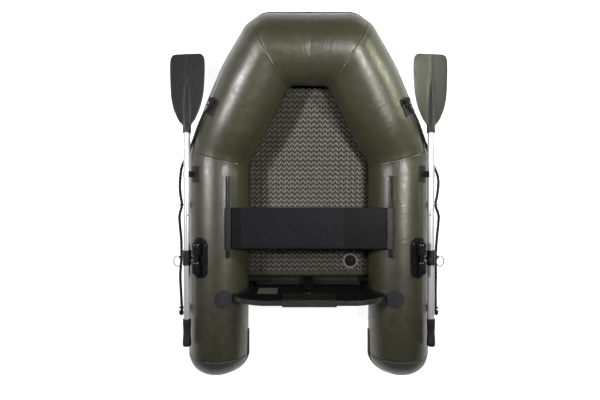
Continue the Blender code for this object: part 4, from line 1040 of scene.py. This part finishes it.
def tubePlate(angle, station, halfLength, halfWidth, corner, thick, bevel):
    s = plateSet
    radius = radiusAt(station)
    work = bmesh.new()
    bmesh.ops.create_grid(work, x_segments=s["acrossCells"], y_segments=s["alongCells"], size=1)
    low = work.verts[:]
    raised = bmesh.ops.extrude_face_region(work, geom=work.faces[:])["geom"]
    high = [vert for vert in raised if isinstance(vert, bmesh.types.BMVert)]
    rim = [edge for edge in raised if isinstance(edge, bmesh.types.BMEdge) and len(edge.link_faces) == 2
           and all(max(abs(vert.co.x), abs(vert.co.y)) > s["rim"] for vert in edge.verts)]
    for verts, lift in ((low, s["foot"]), (high, thick)):
        for vert in verts:
            x, y = roundedCorner(vert.co.x * halfWidth, vert.co.y * halfLength, halfWidth, halfLength, corner)
            vert.co = onTube(angle + math.degrees(x / radius), station + y, lift)
    closeUp(work)
    return rounded(work, [edge for edge in rim if edge.is_valid], bevel, s["segments"])


def discPlate(angle, station, radius, thick, bevel):
    return tubePlate(angle, station, radius, radius, radius, thick, bevel)


anchorSet = {
    "angle": 17, "radius": 0.022, "thick": 0.004, "bevel": 0.0012, "wire": 0.003, "bend": 0.012,
    "leg": 0.024, "bendSteps": 12, "roundSteps": 28, "sides": 12, "gap": 0.0003, "slack": 0.0018,
    "middleY": -0.021, "aftY": -0.535, "strapHalf": (0.015, 0.008), "frontAngle": 46, "frontWay": 0.235,
    "frontHalf": (0.042, 0.030), "frontCorner": 0.010, "frontStrapHalf": (0.022, 0.0085),
}
strapSet = {"steps": 16, "sunk": 0.0004, "hump": 0.0058, "humpWidth": 0.006, "thick": 0.0014}


def anchorLoop(angle, station, leg):
    # a round ring, or one pulled out lengthwise into two half circles and two legs
    s = anchorSet
    foot = onTube(angle, station)
    out = (onTube(angle, station, 1) - foot).normalized()
    aside = (onTube(angle + 1, station) - onTube(angle - 1, station)).normalized()
    centre = foot + out * (s["gap"] + s["wire"] + s["bend"])
    points = [] if leg else circleOf(centre, aside, out, s["bend"], s["roundSteps"])
    for start, reach in ((math.pi, 0), (0, leg)) if leg else ():
        for turn in between(start, start + math.pi, s["bendSteps"]):
            beside = aside * s["bend"] * math.cos(turn)
            points.append(centre + beside + out * (reach + s["bend"] * math.sin(turn)))
    return tubeAlong(points, [s["wire"]] * len(points), s["sides"], closed=True)


def strapOver(angle, station, halfLength, halfWidth):
    # webbing that holds a loop down on its patch: a low hump over the loop's foot
    s = strapSet
    rings = []
    turn = math.degrees(halfWidth / radiusAt(station))
    for way in between(-halfLength, halfLength, s["steps"]):
        rise = anchorSet["thick"] - s["sunk"] + s["hump"] * math.exp(-(way / s["humpWidth"]) ** 2)
        rings.append([onTube(angle + side * turn, station + way, rise + level)
                      for side, level in ((-1, 0), (1, 0), (1, s["thick"]), (-1, s["thick"]))])
    return closeUp(sweep(rings))


def makeAnchors():
    s = anchorSet
    for place in ("middle", "aft"):
        station = stationAt(s[place + "Y"])
        disc = discPlate(s["angle"], station, s["radius"], s["thick"], s["bevel"])
        strap = strapOver(s["angle"], station, *s["strapHalf"])
        work = merged(disc, strap, anchorLoop(s["angle"], station, s["leg"]))
        finishPair(place + "Anchor", work, "strakeRubber", "hull", place + "_anchor")
    station = stations[1] + s["frontWay"]
    plate = tubePlate(s["frontAngle"], station, *s["frontHalf"], s["frontCorner"], s["thick"], s["bevel"])
    strap = strapOver(s["frontAngle"], station, *s["frontStrapHalf"])
    work = merged(plate, strap, anchorLoop(s["frontAngle"], station, 0))
    finishPair("frontAnchor", work, "strakeRubber", "hull", "front_anchor")


makeAnchors()
print("anchors made")


# grab lines, on the same routes as the CAD's

ropeSet = {
    "radius": 0.0066, "swell": 0.03, "step": 0.0035, "sides": 14, "overAnchor": 0.004, "sharp": 60,
    # angle round the tube, way past the shoulder seam, height off the tube
    "front": ((38, 0.185, 0.010), (31, 0.130, 0.0075), (29, 0.070, 0.0075), (29, 0.010, 0.0080)),
    # before and after the middle anchor
    "starboard": (
        ((0.6250, 0.180, 0.205), (0.6480, 0.130, 0.196), (0.6540, 0.085, 0.193), (0.6465, 0.028, 0.197)),
        ((0.6530, -0.070, 0.197), (0.6545, -0.110, 0.191), (0.6476, -0.198, 0.186), (0.6430, -0.284, 0.184),
         (0.6430, -0.375, 0.186), (0.6400, -0.450, 0.192))),
    "port": (
        ((0.6330, 0.180, 0.205), (0.6460, 0.120, 0.196), (0.6490, 0.070, 0.194), (0.6440, 0.026, 0.199)),
        ((0.6500, -0.075, 0.196), (0.6490, -0.130, 0.190), (0.6440, -0.198, 0.186), (0.6440, -0.284, 0.184),
         (0.6490, -0.375, 0.186), (0.6440, -0.455, 0.192))),
}
knotSet = {
    "reach": 0.026, "wind": 0.0088, "turns": 2.4, "length": 0.021, "rope": 0.0054, "steps": 60, "sides": 12,
    "taper": 6, "tip": 0.1, "uvStep": 0.0027,
}


def holdLift(leg):
    s = anchorSet
    return s["gap"] + 2 * s["bend"] + leg - ropeSet["radius"] - s["slack"]


def frontRoute():
    s, here, hold = anchorSet, stations[1], holdLift(0)
    end = onTube(s["frontAngle"] + 1, here + s["frontWay"] + knotSet["reach"], hold + ropeSet["overAnchor"])
    route = [end, onTube(s["frontAngle"], here + s["frontWay"], hold)]
    return route + [onTube(angle, here + way, lift) for angle, way, lift in ropeSet["front"]]


def sideHold(y):
    return onTube(anchorSet["angle"], stationAt(y), holdLift(anchorSet["leg"]))


def knotCoil(centre, way):
    # the rope's end wound round itself: a short barrel of almost two and a half turns
    s = knotSet
    first = way.orthogonal().normalized()
    second = way.cross(first)
    points = []
    for share in between(0, 1, s["steps"]):
        turn = math.tau * s["turns"] * share
        reach = s["wind"] * min(1, s["taper"] * share + s["tip"], s["taper"] * (1 - share) + s["tip"])
        wound = reach * (math.cos(turn) * first + math.sin(turn) * second)
        points.append(centre + wound + way * (share - 0.5) * s["length"])
    work = tubeAlong(points, [s["rope"]] * len(points), s["sides"])
    unwrap(work, between(0, 1, s["sides"]), [s["uvStep"] * number for number in range(len(points))])
    return closeUp(work)


def makeGrabLine(side):
    s = ropeSet
    beforeMiddle, afterMiddle = ([Vector(spot) for spot in run] for run in s[side])
    end = sideHold(anchorSet["aftY"])
    route = frontRoute() + beforeMiddle + [sideHold(anchorSet["middleY"])] + afterMiddle
    route += [end, end - ahead * knotSet["reach"]]
    points = smoothRoute(route, s["step"])
    lengths = [0.0]
    for before, after in zip(points, points[1:]):
        lengths.append(lengths[-1] + (after - before).length)
    sizes = [s["radius"] * (1 + s["swell"] * math.sin(length / s["step"])) for length in lengths]
    work = tubeAlong(points, sizes, s["sides"])
    unwrap(work, between(0, 1, s["sides"]), lengths)
    closeUp(work)
    for tip, inner in ((points[0], points[3]), (points[-1], points[-4])):
        work = merged(work, knotCoil(tip, (inner - tip).normalized()))
    if side == "port":
        mirrored(work)
    finishPiece(side + "GrabLine", work, "braidedRope", "hull", side + "_grab_line", s["sharp"])
    return lengths[-1]


print("grab lines:", [round(makeGrabLine(side), 4) for side in ("starboard", "port")], "m")


# rowlocks and oars; n is measured out from the tube's middle and t across it, outboard and down

rowlockSet = {
    "lean": 60, "y": -0.277, "height": 0.172, "padHalf": (0.099, 0.046), "padCorner": 0.040,
    "padThick": 0.005, "padBevel": 0.002, "rimInset": 0.009, "rimRise": 0.0018, "rimBevel": 0.0016,
    "lobeStart": 0.016, "gap": 0.0003, "hub": 0.0115, "hubEdge": 0.0012, "bandHalf": 0.006,
    "bandSlope": 0.001, "axleHalf": 0.070, "axle": 0.004, "stem": 0.006, "flange": 0.010,
    "flangeThick": 0.004, "flangeEdge": 0.0006, "ball": 0.009, "ballReach": 0.1014, "ballFoot": 0.0075,
    "ring": 0.0255, "wire": 0.0021, "ringGap": 0.005, "ringSteps": 72, "ringSides": 10,
    "ballTurns": (90, -48, 14),
    # one barrel of the base: radius and distance along the axle
    "lobe": (
        (0, 0.083), (0.006, 0.0826), (0.0125, 0.0808), (0.0175, 0.0772), (0.0208, 0.0722), (0.0223, 0.066),
        (0.0225, 0.060), (0.0225, 0.0505), (0.0217, 0.0497), (0.0217, 0.0475), (0.0225, 0.0467),
        (0.0225, 0.0305), (0.0217, 0.0297), (0.0217, 0.0275), (0.0225, 0.0267), (0.0225, 0.018),
        (0.0217, 0.0165), (0.0205, 0.016), (0, 0.016)),
}
oarSet = {
    "reach": 0.060, "shaft": 0.016, "bore": 0.0147, "innerBore": 0.013, "sleeveGap": 0.0004, "sleeve": 0.070,
    "edge": 0.0004, "jointGap": 0.0002, "aftY": -0.690, "jointY": -0.035, "frontY": 0.390, "gap": 0.0003,
    "shaftSteps": 64, "collar": 0.0205, "collarHalf": 0.0365, "collarRibs": 7, "groove": 0.0016,
    # way from a rib's start to its foot and crown, and from its end to its crown and foot
    "rib": (0.0018, 0.0028, 0.0012, 0.0002),
}
lean = math.radians(rowlockSet["lean"])
normal = Vector((math.cos(lean), 0, math.sin(lean)))
across = Vector((math.sin(lean), 0, -math.cos(lean)))


def atRowlock(t, y, n):
    return Vector((hullSet["sideX"], y, hullSet["radius"])) + across * t + normal * n


tiltPoint = atRowlock(0, rowlockSet["y"], rowlockSet["height"])
tiltLine = axes(tiltPoint, across, ahead)
stemLine = axes(tiltPoint, ahead, across)
oarLine = axes(atRowlock(oarSet["reach"], 0, rowlockSet["height"]), across, ahead)


def makeBase():
    s = rowlockSet
    place, inset = (s["lean"], stationAt(s["y"])), s["rimInset"]
    rimHalf = [half - inset for half in s["padHalf"]]
    pad = tubePlate(*place, *s["padHalf"], s["padCorner"], s["padThick"], s["padBevel"])
    rim = tubePlate(*place, *rimHalf, s["padCorner"] - inset, s["padThick"] + s["rimRise"], s["rimBevel"])
    barrels = [lathe([(radius, way * height) for radius, height in s["lobe"]], tiltLine) for way in (1, -1)]
    finishPair("rowlockBase", merged(pad, rim, *barrels), "glossPlastic", "hull", "rowlock_base")


def makePin():
    s = rowlockSet
    hub, edge, band = s["lobeStart"] - s["gap"], s["hubEdge"], s["bandHalf"]
    half = [
        (0, s["axleHalf"]), (s["axle"], s["axleHalf"]), (s["axle"], hub), (s["hub"] - edge, hub),
        (s["hub"], hub - edge), (s["hub"], band), (s["hub"] + edge, band - s["bandSlope"])]
    axle = lathe(half + [(radius, -height) for radius, height in reversed(half)], tiltLine)
    top = oarSet["reach"] - oarSet["collar"] - s["gap"]
    low, edge = top - s["flangeThick"], s["flangeEdge"]
    ball = []
    for angle in between(*s["ballTurns"]):
        turn = math.radians(angle)
        ball.append((max(s["ball"] * math.cos(turn), 0), s["ballReach"] + s["ball"] * math.sin(turn)))
    stem = lathe(ball + [
        (s["stem"], s["ballReach"] - s["ballFoot"]), (s["stem"], top), (s["flange"] - edge, top),
        (s["flange"], top - edge), (s["flange"], low + edge), (s["flange"] - edge, low), (s["stem"], low),
        (s["stem"], 0), (0, 0)], stemLine)
    finishPair("rowlockPin", merged(axle, stem), "glossPlastic", "pin", "rowlock_pin")


def makeRing():
    s = rowlockSet
    away = (across - ahead).normalized()
    beside = (across + ahead).normalized()
    centre = atRowlock(s["ballReach"], s["y"], s["height"]) + away * (s["ringGap"] + s["ring"])
    points = circleOf(centre, away, beside, s["ring"], s["ringSteps"])
    work = tubeAlong(points, [s["wire"]] * len(points), s["ringSides"], closed=True)
    finishPair("retainingRing", work, "steelWire", "ring", "retaining_ring")


def makeCollar():
    s = oarSet
    inner, low = s["shaft"] + s["gap"], s["collar"] - s["groove"]
    footStart, crownStart, crownEnd, footEnd = s["rib"]
    ends = between(rowlockSet["y"] - s["collarHalf"], rowlockSet["y"] + s["collarHalf"], s["collarRibs"])
    profile = [(inner, ends[0])]
    for start, end in zip(ends, ends[1:]):
        profile += [(low, start), (low, start + footStart), (s["collar"], start + crownStart),
                    (s["collar"], end - crownEnd), (low, end - footEnd)]
    profile += [(inner, ends[-1]), (inner, ends[0])]
    finishPair("oarCollar", lathe(profile, oarLine), "strakeRubber", "oar", "oar_collar")


def makeShafts():
    s = oarSet
    shaft, bore, edge, joint = s["shaft"], s["bore"], s["edge"], s["jointY"]
    end = joint - s["jointGap"]
    upper = [(bore, s["aftY"]), (shaft - edge, s["aftY"]), (shaft, s["aftY"] + edge), (shaft, end - edge),
             (shaft - edge, end), (bore, end), (bore, s["aftY"])]
    start, sleeve, inner = joint + s["jointGap"], bore - s["sleeveGap"], s["innerBore"]
    lower = [
        (inner, s["frontY"]), (shaft, s["frontY"]), (shaft, start + edge), (shaft - edge, start),
        (sleeve, start), (sleeve, joint - s["sleeve"]), (inner, joint - s["sleeve"]), (inner, s["frontY"])]
    for name, node, profile in (("shaftUpper", "shaft_upper", upper), ("shaftLower", "shaft_lower", lower)):
        finishPair(name, lathe(profile, oarLine, s["shaftSteps"]), "shaftAluminium", "oar", node)


gripSet = {
    "aft": -0.708, "length": 0.134, "front": -0.574, "floor": -0.692, "smoothEnds": (5, 8), "rings": 28,
    "ringStart": 0.2, "ringSpan": 0.55, "ringStep": 0.006, "groove": 0.0005,
    # share of the length and radius
    "shape": (
        (0.0, 0.0150), (0.008, 0.0174), (0.03, 0.0197), (0.07, 0.0204), (0.13, 0.0205), (0.3, 0.0192),
        (0.5, 0.0180), (0.65, 0.0185), (0.8, 0.0195), (0.95, 0.0196), (0.98, 0.0193), (1.0, 0.0183)),
}


def fromTable(table, y):
    if y <= table[0][0]:
        return table[0][1]
    for (first, low), (last, high) in zip(table, table[1:]):
        if y <= last:
            return low + (high - low) * (y - first) / (last - first)
    return table[-1][1]


def makeGrip():
    s = gripSet
    ribs = []
    for number in range(s["rings"]):
        # finger rings on the middle of the grip
        share = s["ringStart"] + s["ringSpan"] * number / s["rings"]
        radius = fromTable(s["shape"], share)
        low = (share + s["ringStep"], radius - s["groove"])
        ribs += [(share, radius), low, (share + 2 * s["ringStep"], radius)]
    first, last = s["smoothEnds"]
    shape = [*s["shape"][:first], *ribs, *s["shape"][last:]]
    inner = oarSet["shaft"] + oarSet["gap"]
    profile = [(0, s["aft"])] + [(radius, s["aft"] + s["length"] * share) for share, radius in shape]
    profile += [(inner, s["front"]), (inner, s["floor"]), (0, s["floor"])]
    finishPair("grip", lathe(profile, oarLine), "gripFoam", "oar", "grip")


bladeSet = {
    "neck": 0.0200, "edge": 0.0015, "sheet": 0.0022, "crown": 0.18, "foot": 0.004, "flare": 1.0,
    "flankSteps": 8, "slant": 0.13, "slantFrom": 0.52, "tip": 0.716, "roundTo": 0.345, "flatFrom": 0.394,
    "row": 0.009, "smooth": 0.002, "sharp": 40,
    "footShare": 0.98, "outerShares": (0.25, 0.5, 0.75, 0.92), "rim": 0.0006, "rimShare": 0.9,
    # place along the shaft, half width and half thickness of the rib
    "widths": (
        (0.331, 0.0200), (0.345, 0.0210), (0.370, 0.0360), (0.394, 0.0540), (0.442, 0.0830), (0.491, 0.1005),
        (0.540, 0.1090), (0.637, 0.1145), (0.685, 0.1125), (0.700, 0.1075), (0.708, 0.1010), (0.7135, 0.0910),
        (0.716, 0.0790)),
    "ribs": ((0.394, 0.0195), (0.450, 0.0170), (0.540, 0.0095), (0.600, 0.0030), (0.720, 0.0030)),
}


def bladeRing(y, halfWidth):
    s = bladeSet
    rib = fromTable(s["ribs"], y)
    crown = rib * s["crown"]
    foot = min(s["foot"] + rib * s["flare"], halfWidth * s["footShare"])
    side = []
    for share in between(0, 1, s["flankSteps"]):
        # the rib's flank falls in an S from its crown to the sheet
        fall = 0.5 * (1 - share) + 0.25 + 0.25 * math.cos(math.pi * share) if share < 1 else 0
        side.append((crown + (foot - crown) * share, s["sheet"] + (rib - s["sheet"]) * fall))
    outer = [(foot + (halfWidth - foot) * share, s["sheet"]) for share in s["outerShares"]]
    outer += [(halfWidth - s["rim"], s["edge"] * s["rimShare"]), (halfWidth, 0.0)]
    quarter = [(0, rib)] + side + outer  # from the crown to the outer edge
    flat = quarter[::-1] + [(-t, n) for t, n in quarter[1:]]
    flat += [(-t, -n) for t, n in quarter[-2:0:-1]] + [(t, -n) for t, n in quarter[:-1]]
    # the round neck turns into the flat blade
    share = eased(min(max((y - s["roundTo"]) / (s["flatFrom"] - s["roundTo"]), 0), 1))
    slant = s["slant"] * max(0, (y - s["slantFrom"]) / (s["tip"] - s["slantFrom"]))
    points = []
    for turn, (t, n) in zip(evenTurns(len(flat)), flat):
        neckT, neckN = s["neck"] * math.cos(turn), s["neck"] * math.sin(turn)
        points.append(atRowlock(
            oarSet["reach"] + neckT + (t - neckT) * share, y + slant * t,
            rowlockSet["height"] + neckN + (n - neckN) * share))
    return points


def makeBlade():
    s = bladeSet
    rows = []
    for (first, _), (last, _) in zip(s["widths"], s["widths"][1:]):
        rows += between(first, last, max(1, round((last - first) / s["row"])))[:-1]
    rows.append(s["widths"][-1][0])
    curve = smoothRoute([Vector((*row, 0)) for row in s["widths"]], s["smooth"])
    table = [(point.x, point.y) for point in curve]
    work = closeUp(sweep([bladeRing(y, fromTable(table, y)) for y in rows]))
    finishPair("blade", work, "bladePlastic", "oar", "blade", s["sharp"])


buttonSet = {
    "y": -0.069, "angle": 119, "steps": 32,
    "profile": (
        (0, 0.008), (0.0038, 0.008), (0.0038, 0.0172), (0.0034, 0.0183), (0.0022, 0.0189), (0, 0.019)),
    "leaf": (0.034, 0.008, 0.001), "leafMiddle": (0.013, 0, 0.008), "leafBevel": 0.0003, "leafSegments": 2,
}


def makeButton():
    s = buttonSet
    turn = math.radians(s["angle"])
    out = Vector((math.cos(turn), 0, math.sin(turn)))
    place = axes(atRowlock(oarSet["reach"], s["y"], rowlockSet["height"]), ahead, out)
    leaf = box(s["leaf"], s["leafMiddle"], s["leafBevel"], s["leafSegments"])
    bmesh.ops.transform(leaf, matrix=place, verts=leaf.verts)
    work = merged(lathe(s["profile"], place, s["steps"]), leaf)
    finishPair("snapButton", work, "steelWire", "button", "snap_button")


for make in (makeBase, makePin, makeRing, makeCollar, makeShafts, makeGrip, makeBlade, makeButton):
    make()
print("rowlocks and oars made")


# fittings that keep their CAD shape, with softened edges: piece, node, bevel, finish, body, one on each side

fittings = [
    ("oarClip", "oar_clip", 0.0008, "strakeRubber", "hull", True),
    ("seatRail", "seat_rail", 0.0004, "railFabric", "hull", True),
    ("seatSlider", "seat_slider", 0.0005, "strakeRubber", "seat", True),
    ("valveBody", "valve_body", 0.0008, "blackPlastic", "hull", True),
    ("valveCap", "valve_cap", 0.0008, "blackPlastic", "cap", True),
    ("transomHolder", "transom_holder", 0.0010, "strakeRubber", "hull", True),
    ("deckValveBody", "deck_valve_body", 0.0008, "valvePlastic", "hull", False),
    ("deckValveCap", "deck_valve_cap", 0.0008, "valvePlastic", "deck_cap", False),
    ("transomBoard", "transom_board", 0.0025, "coatedBoard", "hull", False),
    ("transomApron", "transom_apron", 0.0004, "apronFabric", "hull", False),
    ("motorSaddle", "motor_saddle", 0.0014, "blackPlastic", "hull", False),
    ("drainHousing", "drain_housing", 0.0012, "valvePlastic", "hull", False),
    ("drainPlug", "drain_plug", 0.0006, "blackPlastic", "plug", False),
    ("blankPlate", "blank_plate", 0.0003, "blankLabel", "hull", False),
]
sleeveSet = {"x": 0.391, "half": 0.0075}
# upward faces of these pieces are painted paler, partly as a painted highlight
paintedTopSet = {"pieces": ("transomBoard", "motorSaddle"), "tilt": 0.5}


def repaint(piece, finish, chosen):
    piece.data.materials.append(paint[finish])
    for face in piece.data.polygons:
        face.material_index = int(chosen(face))


def isSleeve(face):
    return abs(abs(face.center.x) - sleeveSet["x"]) < sleeveSet["half"]


def isPaintedTop(face):
    return face.normal.z > paintedTopSet["tilt"]


def makeFittings():
    for name, node, bevel, finish, body, paired in fittings:
        if not paired:
            piece = finishPiece(name, refined(node, bevel), finish, body, node, flat=True)
            if name in paintedTopSet["pieces"]:
                # the upward faces get a smoother, paler finish: partly the board's real edge profile, partly
                # a painted highlight where light falls on the tops
                repaint(piece, "trimAndPaintedHighlight", isPaintedTop)
            continue
        for side in ("starboard", "port"):
            sideNode = f"{side}_{node}"
            work = refined(sideNode, bevel)
            piece = finishPiece(sided(side, name), work, finish, bodyOn(side, body), sideNode, flat=True)
            if name == "seatRail":
                # the sleeve over the bead is dark
                repaint(piece, "blackPlastic", isSleeve)


seatSet = {"low": (-0.3742, -0.232, 0.2868), "high": (0.3742, -0.033, 0.3028), "bevel": 0.0035, "segments": 4}
patchSet = {"angle": 107.1, "y": -0.4755, "radius": 0.044, "thick": 0.003, "bevel": 0.0008}


def makeSeat():
    low, high = Vector(seatSet["low"]), Vector(seatSet["high"])
    work = box(high - low, (low + high) / 2, seatSet["bevel"], seatSet["segments"])
    finishPiece("seatBoard", closeUp(work), "coatedBoard", "seat", "seat_board", flat=True)


def makePatches():
    s = patchSet
    patch = discPlate(s["angle"], stationAt(s["y"]), s["radius"], s["thick"], s["bevel"])
    finishPair("transomPatch", patch, "patchFabric", "hull", "transom_patch")


makeFittings()
makeSeat()
makePatches()
nodes["bow_baffle"].data.materials.clear()
nodes["bow_baffle"].data.materials.append(paint["hullFabric"])
print("fittings made")


# floor and world, whose white shows only where it is seen or mirrored

def makeFloor():
    material, tree, shader = startMaterial("paleFloor", floorSet)
    shader["Base Color"].default_value = (*floorSet["colour"], 1)
    path = tree.nodes.new("ShaderNodeLightPath").outputs
    seen = sums(tree, "MAXIMUM", path["Is Glossy Ray"], path["Is Transmission Ray"])
    seen = sums(tree, "MAXIMUM", path["Is Camera Ray"], seen)
    tree.links.new(times(tree, seen, floorSet["glow"]), shader["Emission Strength"])
    shader["Emission Color"].default_value = (1, 1, 1, 1)
    work = bmesh.new()
    bmesh.ops.create_grid(work, x_segments=2, y_segments=2, size=floorSet["half"])
    addThing("floor", meshFrom(work, "floor", material))


def makeWorld():
    world = bpy.data.worlds.new("studio")
    bpy.context.scene.world = world
    world.use_nodes = True
    tree = world.node_tree
    back = tree.nodes["Background"].inputs
    seen = tree.nodes.new("ShaderNodeLightPath").outputs["Is Camera Ray"]
    strength = worldSet["strength"]
    tree.links.new(mixed(tree, seen, (*worldSet["colour"], 1), (1, 1, 1, 1)), back["Color"])
    tree.links.new(sums(tree, "MULTIPLY_ADD", seen, 1 - strength, strength), back["Strength"])


addCamera()
addLamps()
addBeam()
makeFloor()
makeWorld()
bpy.context.scene.view_settings.view_transform = "Standard"
